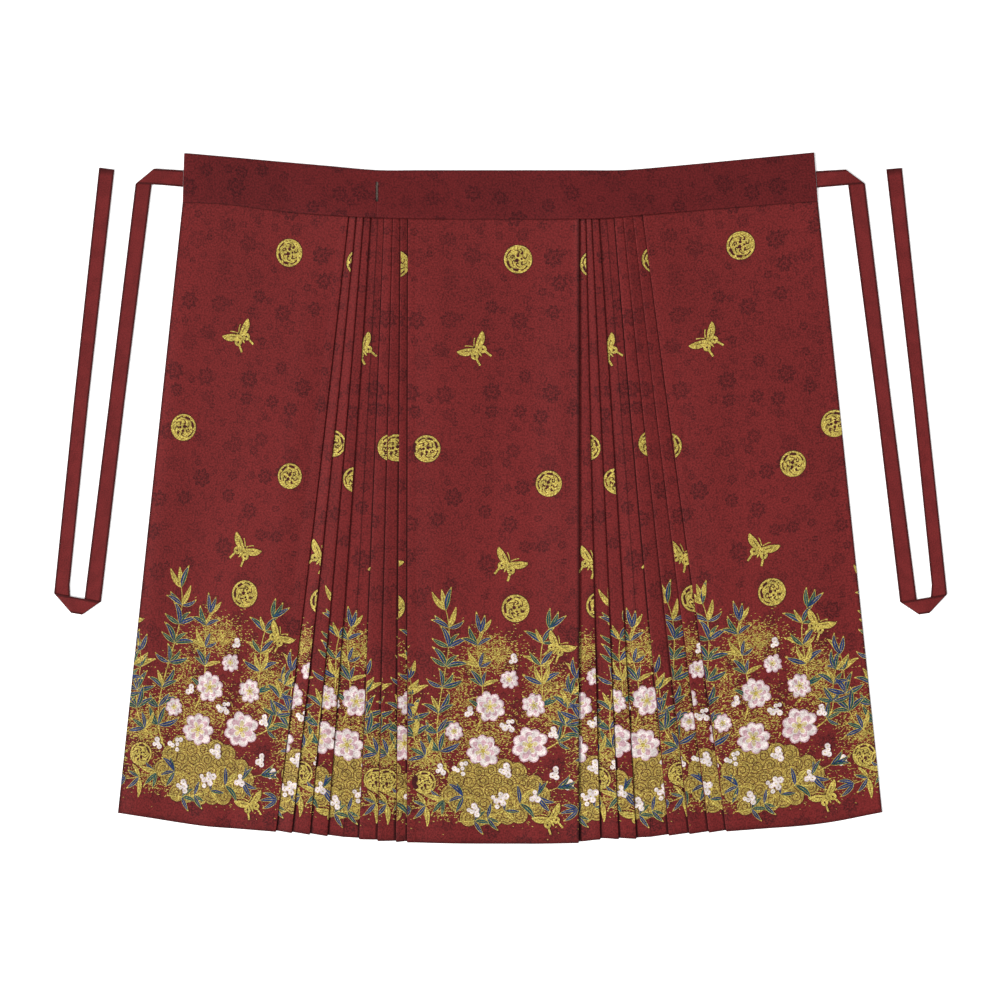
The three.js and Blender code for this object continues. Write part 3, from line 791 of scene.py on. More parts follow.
def draw_scroll(drawing, middle, radius, way, level):
    """A gold scroll of cloud, with a dark rim and a dark line that rolls to its middle."""
    drawing.disc(middle, radius, OUTLINE, level)
    drawing.disc(middle, radius - 0.8, DULL_GOLD, level + 1)
    angle = np.linspace(0, 3.4 * np.pi, 26)
    reach = (radius - 0.8) * (0.8 - 0.66 * angle / angle[-1])
    start = chance.uniform(0, 2 * np.pi)
    spiral = np.stack([np.cos(way * angle + start), np.sin(way * angle + start)], axis=1) * reach[:, None]
    drawing.stroke(np.array(middle) + spiral, 0.95, OUTLINE, level + 2)


def draw_petal(drawing, root, angle, length, width, rim, fill, level):
    """A round-ended petal with a rim of another thread."""
    along = np.linspace(0, 1, 8)
    shape = np.sqrt(np.clip(1 - (1.75 * along - 0.8) ** 2 / 0.95, 0, 1)) * (0.35 + 0.65 * along ** 0.7)
    axis = root + (away(root, angle, length) - root) * along[:, None]
    drawing.stroke(axis, width * np.maximum(shape, 0.08), rim, level)
    inner = root + (away(root, angle, length - 1.9) - root) * along[:, None]
    drawing.stroke(inner, (width - 2.6) * np.maximum(shape, 0.04), fill, level + 0.6)


def draw_blossom(drawing, middle, radius, level):
    """A full blossom: three rounds of petals and a heart of gold knots."""
    turn = chance.uniform(0, 2 * np.pi)
    for petals, reach, breadth, rim, fill in ((8, 1.0, 0.86, PINK, WHITE), (7, 0.76, 0.62, WHITE, PINK),
                                              (5, 0.48, 0.44, WHITE, CREAM)):
        for k in range(petals):
            angle = turn + 2 * np.pi * k / petals + chance.uniform(-0.1, 0.1)
            length = radius * reach * chance.uniform(0.88, 1.08)
            root = away(middle, angle, radius * 0.08)
            draw_petal(drawing, root, angle, length, radius * breadth * 0.95, rim, fill, level + k * 0.15)
        level += 2.2
        turn += 0.45
    drawing.disc(middle, radius * 0.14, GOLD, level, 7, 0.16, turn)
    for k in range(9):
        knot = away(middle, turn + k * 0.7, radius * chance.uniform(0.18, 0.3))
        drawing.disc(knot, 0.8, GOLD, level)


def draw_berries(drawing, middle, count, spread, level):
    """A cluster of small white blossoms and berries with gold hearts."""
    for k in range(count):
        place = away(middle, k * 2.4 + chance.uniform(-0.3, 0.3), spread * np.sqrt((k + 0.3) / count))
        radius = chance.uniform(2.7, 4.6)
        drawing.disc(place, radius + 0.5, PINK, level + 0.1 * k)
        drawing.disc(place, radius, WHITE, level + 0.1 * k + 0.6, 5 if radius > 3.6 else 0, 0.14)
        drawing.disc(place, radius * 0.25, GOLD, level + 0.1 * k + 1.2)


drawing = Drawing()

# Roundels and butterflies of one repeat, from the waist down: place, size and turn
for u, t, radius, turn in ((160, 58, 20.5, -0.9), (28, 334, 19.6, 2.3), (205, 384, 18.8, 1.2),
                           (157, 565, 20, 0.4), (25, 819, 17, 2.0)):
    draw_roundel(drawing, (u, t), radius, turn, 1)
for u, t, size, turn in ((100, 190, 53, -0.7), (146, 502, 54, 0.5), (218, 622, 50, 0.6),
                         (208, 872, 50, -0.5)):
    draw_butterfly(drawing, (u, t), size, turn, 8)

# Border: gold dust, then sprays of leaves, a bank of scroll clouds, blossoms and berries over it
for middle, reach, count in (((122, 632), (44, 32), 1100), ((205, 696), (34, 56), 1250),
                             ((28, 784), (36, 46), 1100), ((110, 748), (76, 50), 1600),
                             ((60, 850), (60, 24), 500), ((170, 842), (60, 36), 600),
                             ((75, 686), (28, 44), 450)):
    draw_dust(drawing, middle, reach, count)
draw_spray(drawing, [(62, 806), (14, 740), (78, 640), (56, 568)], 7, 33, 2)
draw_spray(drawing, [(58, 800), (-16, 770), (16, 720), (4, 668)], 4, 31, 2)
draw_spray(drawing, [(100, 744), (126, 690), (92, 640), (106, 600)], 4, 28, 2)
draw_spray(drawing, [(180, 730), (216, 690), (176, 640), (206, 594)], 4, 29, 2)
draw_spray(drawing, [(194, 772), (246, 756), (222, 726), (238, 690)], 3, 28, 2)
SCROLL_ROWS = [(800, 84, 178), (817, 72, 192), (834, 64, 204), (851, 72, 198), (866, 88, 180)]
for row, (t, start, end) in enumerate(SCROLL_ROWS):
    for k, u in enumerate(np.arange(start, end, 19.0)):
        place = (u + chance.uniform(-2, 2), t + chance.uniform(-3, 3))
        level = 3 + 1.2 * row + 0.5 * (k % 2)
        draw_scroll(drawing, place, chance.uniform(12, 15.5), (-1) ** (row + k), level)
draw_spray(drawing, [(74, 874), (116, 880), (150, 850), (218, 826)], 5, 28, 10)
draw_spray(drawing, [(104, 846), (70, 826), (44, 852), (6, 858)], 3, 27, 10)
for u, t, radius, level in ((178, 764, 26, 12), (120, 708, 21, 12), (110, 772, 23, 14), (184, 706, 16, 14),
                            (148, 668, 13, 12), (68, 744, 13, 14)):
    draw_blossom(drawing, (u, t), radius, level)
for u, t, count, spread in ((48, 800, 4, 7), (78, 798, 6, 11), (146, 736, 6, 10), (144, 800, 5, 9),
                            (214, 804, 4, 8), (236, 824, 3, 6), (98, 858, 5, 9), (134, 842, 7, 12),
                            (184, 838, 4, 8), (212, 746, 4, 7), (154, 640, 3, 6), (90, 716, 3, 6)):
    draw_berries(drawing, (u, t), count, spread, 16)

repeat_corners, repeat_thread, repeat_level = drawing.finished()


def thread_material(name, bright, main, dark, roughness):
    """Floats of thread: bright where they lie on top, dark where the ground shows between them."""
    material, tree, surface = new_material(name, roughness, 0.15)
    weave = wire(tree, "UVMap", uv_map="weave")[0]
    floats = wire(tree, "VectorMath", weave, (1.0, 1.6, 0), operation="MULTIPLY")[0]
    grain = noise(tree, floats, 420, 2.0, 0.7)[0]
    band = wire(tree, "ValToRGB", grain)
    colours = tree.nodes[-1].color_ramp
    colours.elements[0].position, colours.elements[0].color = 0.36, (*dark, 1)
    colours.elements[1].position, colours.elements[1].color = 0.66, (*bright, 1)
    for place, colour in ((0.45, main), (0.56, main)):
        colours.elements.new(place).color = (*colour, 1)
    uneven = noise(tree, weave, 110, 2.0, 0.6)[0]
    finish(tree, surface, band[0], ramp_to(tree, uneven, 0.3, 0.7, 0.8, 1.2), grain, 0.4)
    return material


thread_materials = [
    thread_material("gold_thread", (0.66, 0.575, 0.155), (0.4, 0.305, 0.055), (0.15, 0.055, 0.018), 0.5),
    thread_material("outline_thread", (0.07, 0.012, 0.01), (0.05, 0.006, 0.007), (0.03, 0.004, 0.005), 0.7),
    thread_material("blue_silk", (0.03, 0.06, 0.18), (0.012, 0.026, 0.1), (0.01, 0.011, 0.035), 0.55),
    thread_material("green_silk", (0.03, 0.11, 0.1), (0.01, 0.052, 0.05), (0.01, 0.02, 0.024), 0.55),
    thread_material("pink_silk", (0.6, 0.42, 0.45), (0.47, 0.29, 0.32), (0.33, 0.17, 0.2), 0.6),
    thread_material("white_silk", (0.74, 0.68, 0.65), (0.63, 0.56, 0.53), (0.42, 0.31, 0.31), 0.6),
    thread_material("cream_silk", (0.62, 0.55, 0.35), (0.52, 0.43, 0.24), (0.4, 0.28, 0.14), 0.6),
    thread_material("dull_gold_thread", (0.56, 0.46, 0.12), (0.28, 0.19, 0.035), (0.11, 0.035, 0.014), 0.5),
]


class Strip:
    """A strip of cloth that shows: its two edges and top side, and how the repeat lies on it."""

    def __init__(self, left, right, underside, anchor=None, repeat=None, lower=0.0):
        self.left, self.right, self.underside = left, right, underside
        self.anchor, self.repeat = anchor, repeat
        self.lower = lower       # how far the top of the repeat sits below its place in the faces
        self.ends = [left(0.0), right(0.0), left(1.0), right(1.0)]

    def y_ends(self, across):
        """Y at the waist seam and at the hem, at a share of the way across."""
        top = self.ends[0] + (self.ends[1] - self.ends[0]) * across
        hem = self.ends[2] + (self.ends[3] - self.ends[2]) * across
        return waist_y(top), hem_y(hem)

    def find(self, corners):
        """Places in the repeat as shares across and down the strip."""
        u, t = corners[..., 0], corners[..., 1]
        if self.repeat is None:
            share = (t + self.lower * smooth(1 - t / LEVEL_FROM)) / LENGTH
            fold, at = self.anchor
            x = edge_x(fold, share) + u - at
            return (x - self.left(share)) / (self.right(share) - self.left(share)), share
        x, y = np.moveaxis(self.repeat[0] + corners @ self.repeat[1:], -1, 0)
        share = 0.5 + 0 * x
        for _ in range(ROUNDS):
            across = (x - self.left(share)) / (self.right(share) - self.left(share))
            top, hem = self.y_ends(across)
            share = (top - y) / (top - hem)
        return across, share

    def place(self, across, share):
        """Places on top of the strip, in millimetres."""
        x = self.left(share) + (self.right(share) - self.left(share)) * across
        top, hem = self.y_ends(across)
        z = self.underside(x, share) + (SOLID_CLOTH + CLOTH) / 2 + drape(x, share)
        return np.stack([x, top + (hem - top) * share, z], axis=-1)


def cut_to_strip(polygon):
    """Cuts a convex polygon of shares to the strip, which goes from 0 to 1 both ways."""
    for axis in (0, 1):
        for limit, sign in ((0.0, 1), (1.0, -1)):
            kept = []
            for a, b in zip(polygon, polygon[1:] + polygon[:1]):
                da, db = sign * (a[axis] - limit), sign * (b[axis] - limit)
                if da >= 0:
                    kept.append(a)
                if (da >= 0) != (db >= 0):
                    kept.append(a + (b - a) * (da / (da - db)))
            polygon = kept
            if len(polygon) < 3:
                return []
    return polygon


def woven_figures(name, strips):
    """One piece with everything of the repeat that shows on the strips."""
    points, threads = [], []
    for strip in strips:
        for number in (-1, 0, 1):
            corners = repeat_corners + (number * REPEAT, 0)
            shares = np.stack(strip.find(corners), axis=-1)
            low, high = shares.min(1), shares.max(1)
            touches = (high > 0).all(1) & (low < 1).all(1)
            inside = touches & (low >= 0).all(1) & (high <= 1).all(1)
            whole = [shares[inside]]
            thread, level = [repeat_thread[inside]], [repeat_level[inside]]
            cut = np.nonzero(touches & ~inside)[0]
            for i in cut:
                polygon = cut_to_strip(list(shares[i]))
                pieces = [[polygon[0], b, c] for b, c in zip(polygon[1:-1], polygon[2:])]
                if pieces:
                    whole.append(np.array(pieces))
                    thread.append(np.full(len(pieces), repeat_thread[i]))
                    level.append(np.full(len(pieces), repeat_level[i]))
            whole, thread, level = map(np.concatenate, (whole, thread, level))
            placed = strip.place(whole[..., 0], whole[..., 1])
            placed[..., 2] += FIGURE_LIFT + LEVEL * level[:, None]
            side = np.cross(placed[:, 1] - placed[:, 0], placed[:, 2] - placed[:, 0])[:, 2]
            placed[side < 0] = placed[side < 0][:, ::-1]
            large = np.abs(side) > SLIVER
            points.append(placed[large])
            threads.append(thread[large])
    points, threads = np.concatenate(points), np.concatenate(threads)
    spots, corner = np.unique(np.round(points.reshape(-1, 3), 3), axis=0, return_inverse=True)
    faces = corner.reshape(-1, 3)
    real = (faces[:, 0] != faces[:, 1]) & (faces[:, 1] != faces[:, 2]) & (faces[:, 2] != faces[:, 0])
    piece = new_piece(name, spots, faces[real].tolist(), spots[:, :2], None, thread_materials, threads[real])
    return piece


SIDE_MARGIN = 0.35               # the figures stop this short of a covering fold
FOLD_MARGIN = 0.9                # and this short of their own fold
PLEATS_LOWER = 9                 # the pleats' cloth is sewn in this much lower than the faces'


def fold_at(fold, margin=0.0):
    """X of a fold at any share of the way down, moved by a margin."""
    return lambda share: edge_x(fold, share) + margin


def pleat_strips(group):
    """The visible strips of a pleat group: three facing right, three facing left, and the box."""
    folds, anchors, lines = group
    strips = []
    for i in range(1, CREASE):
        def right_underside(x, share, i=i):
            return right_facing(group, share).rise(i, x)
        strips.append(Strip(fold_at(folds[i - 1], SIDE_MARGIN), fold_at(folds[i], -FOLD_MARGIN),
                            right_underside, (folds[i], anchors[i]), lower=PLEATS_LOWER))
    for i in range(CREASE + 1, len(folds) - 1):
        def left_underside(x, share, i=i):
            return left_facing(group, share).rise(len(folds) - 1 - i, -x)
        strips.append(Strip(fold_at(folds[i], FOLD_MARGIN), fold_at(folds[i + 1], -SIDE_MARGIN),
                            left_underside, (folds[i], anchors[i]), lower=PLEATS_LOWER))

    def box_underside(x, share):
        crease = edge_x(folds[CREASE], share)
        near = np.where(x < crease, crease - edge_x(folds[CREASE - 1], share),
                        edge_x(folds[CREASE + 1], share) - crease)
        return CREASE_RISE * np.clip(1 - np.abs(x - crease) / near, 0, 1)

    strips.append(Strip(fold_at(folds[CREASE - 1], SIDE_MARGIN), fold_at(folds[CREASE + 1], -SIDE_MARGIN),
                        box_underside, (folds[CREASE], anchors[CREASE]), lower=PLEATS_LOWER))
    return strips


def left_panel_underside(x, share):
    return right_facing(LEFT_GROUP, share).rise(0, x)


def right_panel_underside(x, share):
    return left_facing(RIGHT_GROUP, share).rise(0, -x)


def upper_face_underside(x, share):
    return face_lie(left_facing(LEFT_GROUP, share), right_facing(RIGHT_GROUP, share), -x)


left_panel_figures = woven_figures("left_panel_figures", [
    Strip(fold_at(LEFT_EDGE, SIDE_MARGIN), fold_at(LEFT_FOLDS[0], -FOLD_MARGIN), left_panel_underside,
          repeat=LEFT_REPEAT)])
left_pleat_figures = woven_figures("left_pleats_figures", pleat_strips(LEFT_GROUP))
upper_face_figures = woven_figures("upper_face_figures", [
    Strip(fold_at(LEFT_FOLDS[-1], FOLD_MARGIN), fold_at(RIGHT_FOLDS[0], -SIDE_MARGIN), upper_face_underside,
          (LEFT_FOLDS[-1], LEFT_ANCHORS[-1]))])
right_pleat_figures = woven_figures("right_pleats_figures", pleat_strips(RIGHT_GROUP))
right_panel_figures = woven_figures("right_panel_figures", [
    Strip(fold_at(RIGHT_FOLDS[-1], FOLD_MARGIN), fold_at(RIGHT_EDGE, -SIDE_MARGIN), right_panel_underside,
          repeat=RIGHT_REPEAT)])

# Waistband. A folded double band of the same damask over stiffening, in two parts that meet at an
# upright seam, part of which is left open as a slit for the ties. The panels and pleats are sewn in
# along its lower edge.
BAND_TOP = [                     # x and y along its top edge
    (-457.5, 501.2), (-410.3, 497.1), (-326.0, 489.3), (-253.7, 483.0), (-179.4, 476.6), (-120.0, 476.4),
    (120.0, 476.4), (178.0, 476.6), (240.7, 481.6), (337.1, 490.7), (455.1, 502.3),
]
BAND_RISE = [                    # x along the waist seam, and the share of the pleats that it holds
    (-310, 0.0), (-225, 1.0), (-125, 1.0), (-60, 0.3), (40, 0.3), (105, 1.28), (130, 1.1), (150, 1.0),
    (215, 1.0), (290, 0.0),
]
BAND_BODY = 2.7                  # thickness where it holds a single layer of cloth
BAND_COVER = 0.9                 # band cloth above the pleats
BAND_SEAM_X = -179.4
BAND_SEAM_GAP = 0.06             # between its two parts
BAND_LEFT_END = (-459.7, -461.8)   # x at the top edge and at the waist seam
BAND_RIGHT_END = (455.6, 460.9)
BAND_CORNER = 1.75               # how far its upper corners are pulled down
BAND_PITCH = 6                   # from one column of points to the next
BAND_EDGE_COLUMNS = np.array([0, 0.8, 2.4])   # columns close to each end
HELD_FROM, HELD_OVER = 0.1, 0.75   # shares of the way down over which it thickens to hold the pleats
PUFF = 0.35                      # how much it swells between its edges
# Shares of the way down the band, with how much of its height is left, and with how dark the painted shade
# is there
PRESSED = [(0, 0.42), (0.008, 0.72), (0.03, 0.93), (0.975, 0.97), (0.99, 0.9), (1, 0.76)]
BAND_SHADE = [(0, 0.4), (0.016, 0.25), (0.05, 0), (0.975, 0), (1, 0.5)]
END_SHADE, BAND_SEAM_SHADE = 0.45, 0.12   # how dark the painted shade is at its ends and along its upright seam
END_HEIGHT, SEAM_HEIGHT = 0.6, 0.95   # thickness there, as a share of the rest
SLIT = (0.25, 0.66)              # shares of the way down the band
SLIT_HALF_WIDTH = 1.5
PLEAT_STACK = 2 * LAYER * (1 + UNDERFOLD) + SOLID_CLOTH
band_top_y = curve_through(BAND_TOP)
band_rise = curve_through(BAND_RISE)
# Shares of the way down at which it has a row of points, closer at its edges and at the slit's ends
BAND_SHARES = np.array([0, 0.006, 0.016, 0.03, 0.06, 0.1, 0.16, 0.22, 0.243, 0.257, 0.31, 0.37, 0.43, 0.49,
                        0.55, 0.61, 0.653, 0.667, 0.73, 0.8, 0.86, 0.92, 0.955, 0.975, 0.988, 1])
BAND_RED = (0.097, 0.0088, 0.0096)
BAND_FIGURE = (0.048, 0.0048, 0.006)
band_satin = damask("band_satin", BAND_RED, BAND_FIGURE, 0.9)


def band_height(x, share):
    """Height of the band's top side, which thickens over the pleats and is pressed down at its edges."""
    held = np.maximum(band_rise(x), 0) * np.clip((share - HELD_FROM) / HELD_OVER, 0, 1)
    body = BAND_BODY + (PLEAT_STACK + BAND_COVER - BAND_BODY) * held
    puff = PUFF * np.sin(np.pi * share) * (1 + 0.5 * np.sin(x / 31) * np.sin(x / 13.7 + 1))
    return (body + puff) * np.interp(share, *zip(*PRESSED))


def band_part(name, left, right, seam_side, node):
    """One part of the band between two ends, each given by its x at the top edge and at the seam."""
    steps = int(abs(right[1] - left[1]) / BAND_PITCH)
    near = BAND_EDGE_COLUMNS / BAND_PITCH / steps
    place = np.concatenate([near, np.arange(1, steps) / steps, 1 - near[::-1]])
    share, place = np.meshgrid(BAND_SHARES, place, indexing="ij")
    start = left[0] + (left[1] - left[0]) * share
    end = right[0] + (right[1] - right[0]) * share
    x = start + (end - start) * place
    in_slit = (share > SLIT[0]) & (share < SLIT[1])
    seam_column = -1 if seam_side > 0 else 0
    x[:, seam_column] -= seam_side * SLIT_HALF_WIDTH * in_slit[:, seam_column]
    next_column = -2 if seam_side > 0 else 1
    x[:, next_column] -= seam_side * SLIT_HALF_WIDTH * in_slit[:, next_column]
    y = band_top_y(x) + (waist_y(x) - band_top_y(x)) * share
    end_column = 0 if seam_side > 0 else -1
    y[0, end_column] -= BAND_CORNER
    height = band_height(x, share)
    height[:, end_column] *= END_HEIGHT
    height[:, seam_column] *= SEAM_HEIGHT
    face = np.stack([x, y, height], axis=2)
    back = np.stack([x, y, np.zeros_like(x)], axis=2)
    points, faces = closed_grid(face, back)
    # painted shade along its top and lower edges, at its end, and along the upright seam, darkest in the
    # slit
    shade = np.interp(share, *zip(*BAND_SHADE))
    shade[:, end_column] = np.maximum(shade[:, end_column], END_SHADE)
    shade[:, seam_column] = np.where(in_slit[:, seam_column], 1, BAND_SEAM_SHADE)
    weave = np.stack([x + 0.1 * y, y], axis=2)
    piece = new_piece(name, points, faces, np.repeat(weave.reshape(-1, 2), 2, axis=0),
                      np.repeat(shade.ravel(), 2), [band_satin], smooth_angle=50)
    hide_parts(node)
    width = float(np.abs(y[0] - y[-1]).mean()) * MM
    length = float(np.abs(x[:, -1] - x[:, 0]).max()) * MM
    piece["cut"] = [length, width, width * length]
    return piece


seam_left, seam_right = BAND_SEAM_X - BAND_SEAM_GAP / 2, BAND_SEAM_X + BAND_SEAM_GAP / 2
band_left = band_part("waistband_left_cloth", BAND_LEFT_END, (seam_left, seam_left), 1, "waistband_left")
band_right = band_part("waistband_right_cloth", (seam_right, seam_right), BAND_RIGHT_END, -1,
                       "waistband_right")

# Slit for the tie. Its two sides are edged with small dark buttonhole stitches, and the pale stiffening
# of the band shows between them.
STITCH_PITCH = 1.6
STITCH_REACH = 1.5               # length of a stitch, from inside the slit onto the band
STITCH_INSET = 0.25              # how far it starts inside the slit's edge
STITCH_WIDTH = 0.9
STITCH_HEIGHT = 0.35
STITCH_SIDES = 6
STITCH_RINGS = [(0.0, 0.55), (0.35, 1.0), (0.8, 1.0), (1.0, 0.55)]   # share of its length, and its swell
BAND_DEPTH = 71                  # of the band at the slit, taken a little large
LINING_HEIGHT = 1.6              # of its face above the floor
LINING_CLOTH = 1.4               # and its thickness
lining_thread = thread_material("lining_cloth", (0.5, 0.42, 0.36), (0.38, 0.3, 0.25), (0.26, 0.18, 0.15),
                                0.8)


def seam_place(share):
    """Y on the band's upright seam."""
    top = band_top_y(BAND_SEAM_X)
    return top + (waist_y(BAND_SEAM_X) - top) * share


def slit_lining():
    """A narrow strip under the slit."""
    rows = np.linspace(SLIT[0], SLIT[1], 9)[:, None] + np.zeros((1, 4))
    x = BAND_SEAM_X + np.linspace(-1, 1, 4)[None, :] * (SLIT_HALF_WIDTH - 0.05) + np.zeros((9, 1))
    y = seam_place(rows)
    face = np.stack([x, y, LINING_HEIGHT + 0.15 * np.cos(x * 2)], axis=2)
    points, faces = closed_grid(face, face - (0, 0, LINING_CLOTH))
    lining = new_piece("slit_lining", points, faces, points[:, :2], None, [lining_thread], smooth_angle=50)


def slit_stitches():
    """Small rounded bars of thread over both edges of the slit."""
    top, bottom = seam_place(SLIT[0]), seam_place(SLIT[1])
    points, faces = [], []
    order, last = STITCH_SIDES, len(STITCH_RINGS) - 1
    ring = np.linspace(0, 2 * np.pi, order, endpoint=False)
    for side in (-1, 1):
        for y in np.arange(bottom + STITCH_PITCH / 2, top, STITCH_PITCH):
            height = band_height(BAND_SEAM_X, (band_top_y(BAND_SEAM_X) - y) / BAND_DEPTH)
            first = len(points)
            for reach, swell in STITCH_RINGS:
                x = BAND_SEAM_X + side * (SLIT_HALF_WIDTH - STITCH_INSET + STITCH_REACH * reach)
                points += [(x, y + STITCH_WIDTH / 2 * swell * np.cos(a),
                            height + 0.05 + STITCH_HEIGHT * swell * np.sin(a)) for a in ring]
            for k in range(last):
                for i in range(order):
                    a, b = first + k * order + i, first + k * order + (i + 1) % order
                    faces.append([a, b, b + order, a + order][::side])
            faces.append([first + i for i in range(order)][::-side])
            faces.append([first + last * order + i for i in range(order)][::side])
    points = np.array(points)
    stitches = new_piece("slit_stitches", points, faces, points[:, :2], None, [thread_materials[OUTLINE]],
                         smooth_angle=60)


slit_lining()
slit_stitches()

# Ties. Flat ribbons of plain satin, doubled and stitched along both edges, sewn to the ends of the band
# and folded down beside the skirt: three folds each, so that the free end lies level with the band.
TIE_CLOTH = 1.2                  # thickness in the solids
TIE_LAYER = TIE_CLOTH + SEAM_GAP
TIE_PITCH = 12                   # from one row of points to the next
TURNING = 0.95                   # where its face points up less than this, it turns over
TURN_SHADE = 0.9                 # how dark the painted shade is there
# Across the ribbon: share of its width, half its thickness, and how dark the painted shade is there
TIE_ACROSS = np.array([(0, 0.35, 0.9), (0.09, 0.5, 0.8), (0.16, 0.44, 0.1), (0.5, 0.4, 0), (0.84, 0.44, 0.1),
                       (0.91, 0.5, 0.8), (1, 0.35, 0.9)])

# Cross lines from the band to the free end: both edges, layers below, and whether the ribbon folds there
LEFT_TIE = [
    ((-460.8, 476.2), (-461.5, 452.1), 0.2, False),
    ((-490.1, 477.8), (-490.1, 454.5), 1, False),
    ((-503.9, 478.7), (-530.3, 456.9), 1, True),
    ((-546.0, 142.5), (-568.5, 142.5), 0, False),
    ((-580.4, -150.5), (-607.4, -169.4), 0, True),
    ((-648.8, -138.4), (-624.3, -166.5), 1, True),
    ((-647.5, -126.1), (-626.0, -126.1), 0, False),
    ((-619.9, 142.5), (-598.6, 142.5), 0, False),
    ((-583.3, 480.2), (-561.0, 477.3), 0, False),
]
RIGHT_TIE = [
    ((459.8, 450.9), (458.0, 475.0), 0.2, False),
    ((490.0, 453.4), (488.5, 476.6), 1, False),
    ((529.5, 457.0), (502.0, 477.3), 1, True),
    ((567.5, 142.5), (545.4, 142.5), 0, False),
    ((607.6, -169.1), (580.4, -151.1), 0, True),
    ((623.3, -166.9), (648.8, -139.6), 1, True),
    ((626.4, -126.1), (647.4, -126.1), 0, False),
    ((598.9, 142.5), (618.8, 142.5), 0, False),
    ((560.3, 477.9), (583.2, 479.8), 0, False),
]
TIE_RED = (0.13, 0.0138, 0.014)
UP = np.array([0.0, 0.0, 1.0])


def tie_sections(lines):
    """The ribbon's two edges and its upward side at each cross line, with a half turn at each fold."""
    edges = [np.array([[*a, 0.0], [*b, 0.0]]) for a, b, level, fold in lines]
    middle = [TIE_CLOTH / 2 + level * TIE_LAYER for a, b, level, fold in lines]
    radius = TIE_LAYER / 2
    side = 1
    sections = []
    for i, (a, b, level, fold) in enumerate(lines):
        if not fold:
            sections.append((edges[i] + UP * middle[i], UP * side))
            continue
        inward = np.cross(edges[i][1] - edges[i][0], UP)
        inward /= np.linalg.norm(inward)
        if (edges[i - 1][0] - edges[i][0]) @ inward < 0:
            inward = -inward
        on_axis = []
        for other in (edges[i - 1], edges[i + 1]):
            way = other - edges[i]
            on_axis.append(edges[i] + way * ((radius + TIE_CLOTH / 2) / (way @ inward))[:, None])
        climb = 1 if lines[i + 1][2] > level else -1
        axis = UP * (middle[i] + middle[i + 1]) / 2
        for s in range(FOLD_STEPS + 1):
            angle = np.pi * s / FOLD_STEPS
            to_axis = UP * climb * np.cos(angle) + inward * np.sin(angle)
            pair = on_axis[0] + (on_axis[1] - on_axis[0]) * s / FOLD_STEPS + axis - radius * to_axis
            sections.append((pair, to_axis * climb * side))
        side = -side
    return sections


def tie_satin():
    """Plain ribbon satin, with painted shade along its stitched edges, at its free end and where it turns
    over.
    """
    material, tree, surface = new_material("tie_satin", 0.62, 0.1)
    weave = wire(tree, "UVMap", uv_map="weave")[0]
    yarn = noise(tree, weave, 620, 2.0, 0.62)[0]
    patchy = noise(tree, weave, 40, 3.0, 0.6)[0]
    light = ramp_to(tree, yarn, 0.36, 0.64, 0.78, 1.22)
    light = sum_of(tree, light, ramp_to(tree, patchy, 0.3, 0.7, -0.1, 0.1))
    shade = wire(tree, "Attribute", attribute_name="shade")["Fac"]
    light = times(tree, light, ramp_to(tree, shade, 0, 1, 1, 0.35))
    finish(tree, surface, TIE_RED, light, yarn, 0.25)
    return material


tie_material = tie_satin()


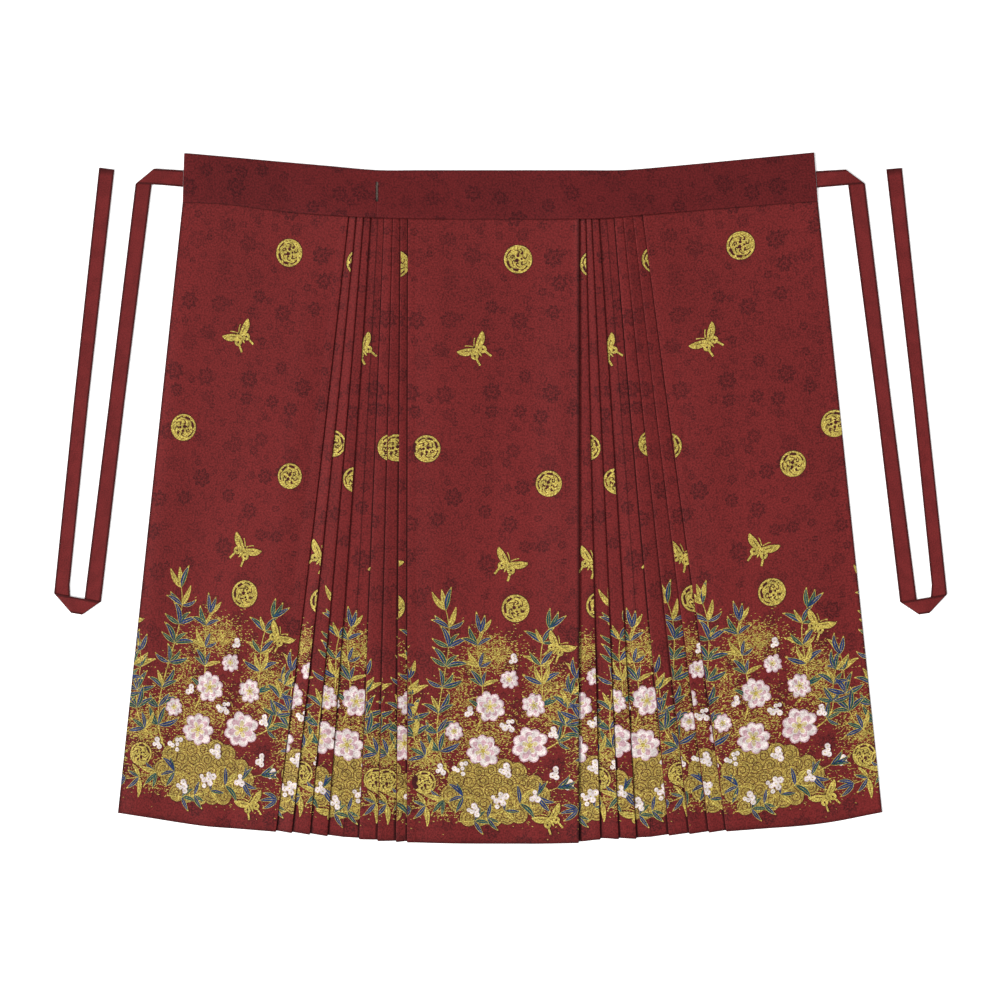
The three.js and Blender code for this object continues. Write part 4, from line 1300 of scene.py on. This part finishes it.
def tie_piece(name, lines, node):
    """A ribbon through its sections."""
    sections = tie_sections(lines)
    pairs, ups = [sections[0][0]], [sections[0][1]]
    for (start, up_start), (end, up_end) in zip(sections, sections[1:]):
        count = max(1, int(np.linalg.norm(end.mean(0) - start.mean(0)) / TIE_PITCH))
        for k in range(1, count + 1):
            pairs.append(start + (end - start) * k / count)
            up = up_start + (up_end - up_start) * k / count
            ups.append(up / np.linalg.norm(up))
    pairs, ups = np.array(pairs), np.array(ups)
    across, thick, dark = TIE_ACROSS.T
    middle = pairs[:, :1] + (pairs[:, 1:] - pairs[:, :1]) * across[None, :, None]
    half = ups[:, None, :] * thick[None, :, None]
    points, faces = closed_grid(middle + half, middle - half)
    along = np.concatenate([[0], np.cumsum(np.linalg.norm(np.diff(pairs.mean(1), axis=0), axis=1))])
    width = np.linalg.norm(pairs[:, 1] - pairs[:, 0], axis=1)
    weave = np.stack([across[None, :] * width[:, None], along[:, None] + 0 * across[None, :]], axis=2)
    # painted shade along both edges, over the free end and where the ribbon turns over
    shade = np.tile(dark, (len(along), 1))
    shade[-1] = 1
    shade[np.abs(ups[:, 2]) < TURNING] = TURN_SHADE
    piece = new_piece(name, points, faces, np.repeat(weave.reshape(-1, 2), 2, axis=0),
                      np.repeat(shade.ravel(), 2), [tie_material], smooth_angle=50)
    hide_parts(node)


tie_piece("tie_left_ribbon", LEFT_TIE, "tie_left")
tie_piece("tie_right_ribbon", RIGHT_TIE, "tie_right")

# Floor and lights. A plain white table, lit from within, under soft light from above, a little stronger
# from the left, so bright that the ground is lost in the picture.
TABLE = 4                        # half its width, in metres
TABLE_TOP = -0.0006              # in metres, a little below the cloth
floor = bpy.data.objects.new("floor", bpy.data.meshes.new("floor"))
corners = [(x * TABLE, y * TABLE, TABLE_TOP) for x, y in ((-1, -1), (1, -1), (1, 1), (-1, 1))]
floor.data.from_pydata(corners, [], [(0, 1, 2, 3)])
bpy.context.collection.objects.link(floor)
paper, _, paper_surface = new_material("white_table", 0.9, 0.1)
paper_surface.inputs["Base Color"].default_value = (0.96, 0.96, 0.96, 1)
paper_surface.inputs["Emission Color"].default_value = (1, 1, 1, 1)
paper_surface.inputs["Emission Strength"].default_value = 0.3
floor.data.materials.append(paper)


def hang_light(name, kind, towards, strength, place=(0, 0, 0)):
    """A light that shines one way from its place, in metres. Gives its settings."""
    light = bpy.data.objects.new(name, bpy.data.lights.new(name, kind))
    light.data.energy = strength
    light.location = place
    light.rotation_mode = "QUATERNION"
    light.rotation_quaternion = Vector(towards).to_track_quat("-Z", "Y")
    bpy.context.collection.objects.link(light)
    return light.data


key_light = hang_light("key_light", "SUN", (1.0, 0.35, -0.85), 3.38)
key_light.angle = np.radians(14)
low_light = hang_light("low_light", "AREA", (0.6, 0.9, -1.3), 4.0, (-1.0, -1.3, 1.3))
low_light.size = 1.4
world = bpy.data.worlds.new("studio")
world.use_nodes = True
world.node_tree.nodes["Background"].inputs[0].default_value = (1, 1, 1, 1)
world.node_tree.nodes["Background"].inputs[1].default_value = 0.62
bpy.context.scene.world = world
bpy.context.scene.view_settings.view_transform = "Standard"
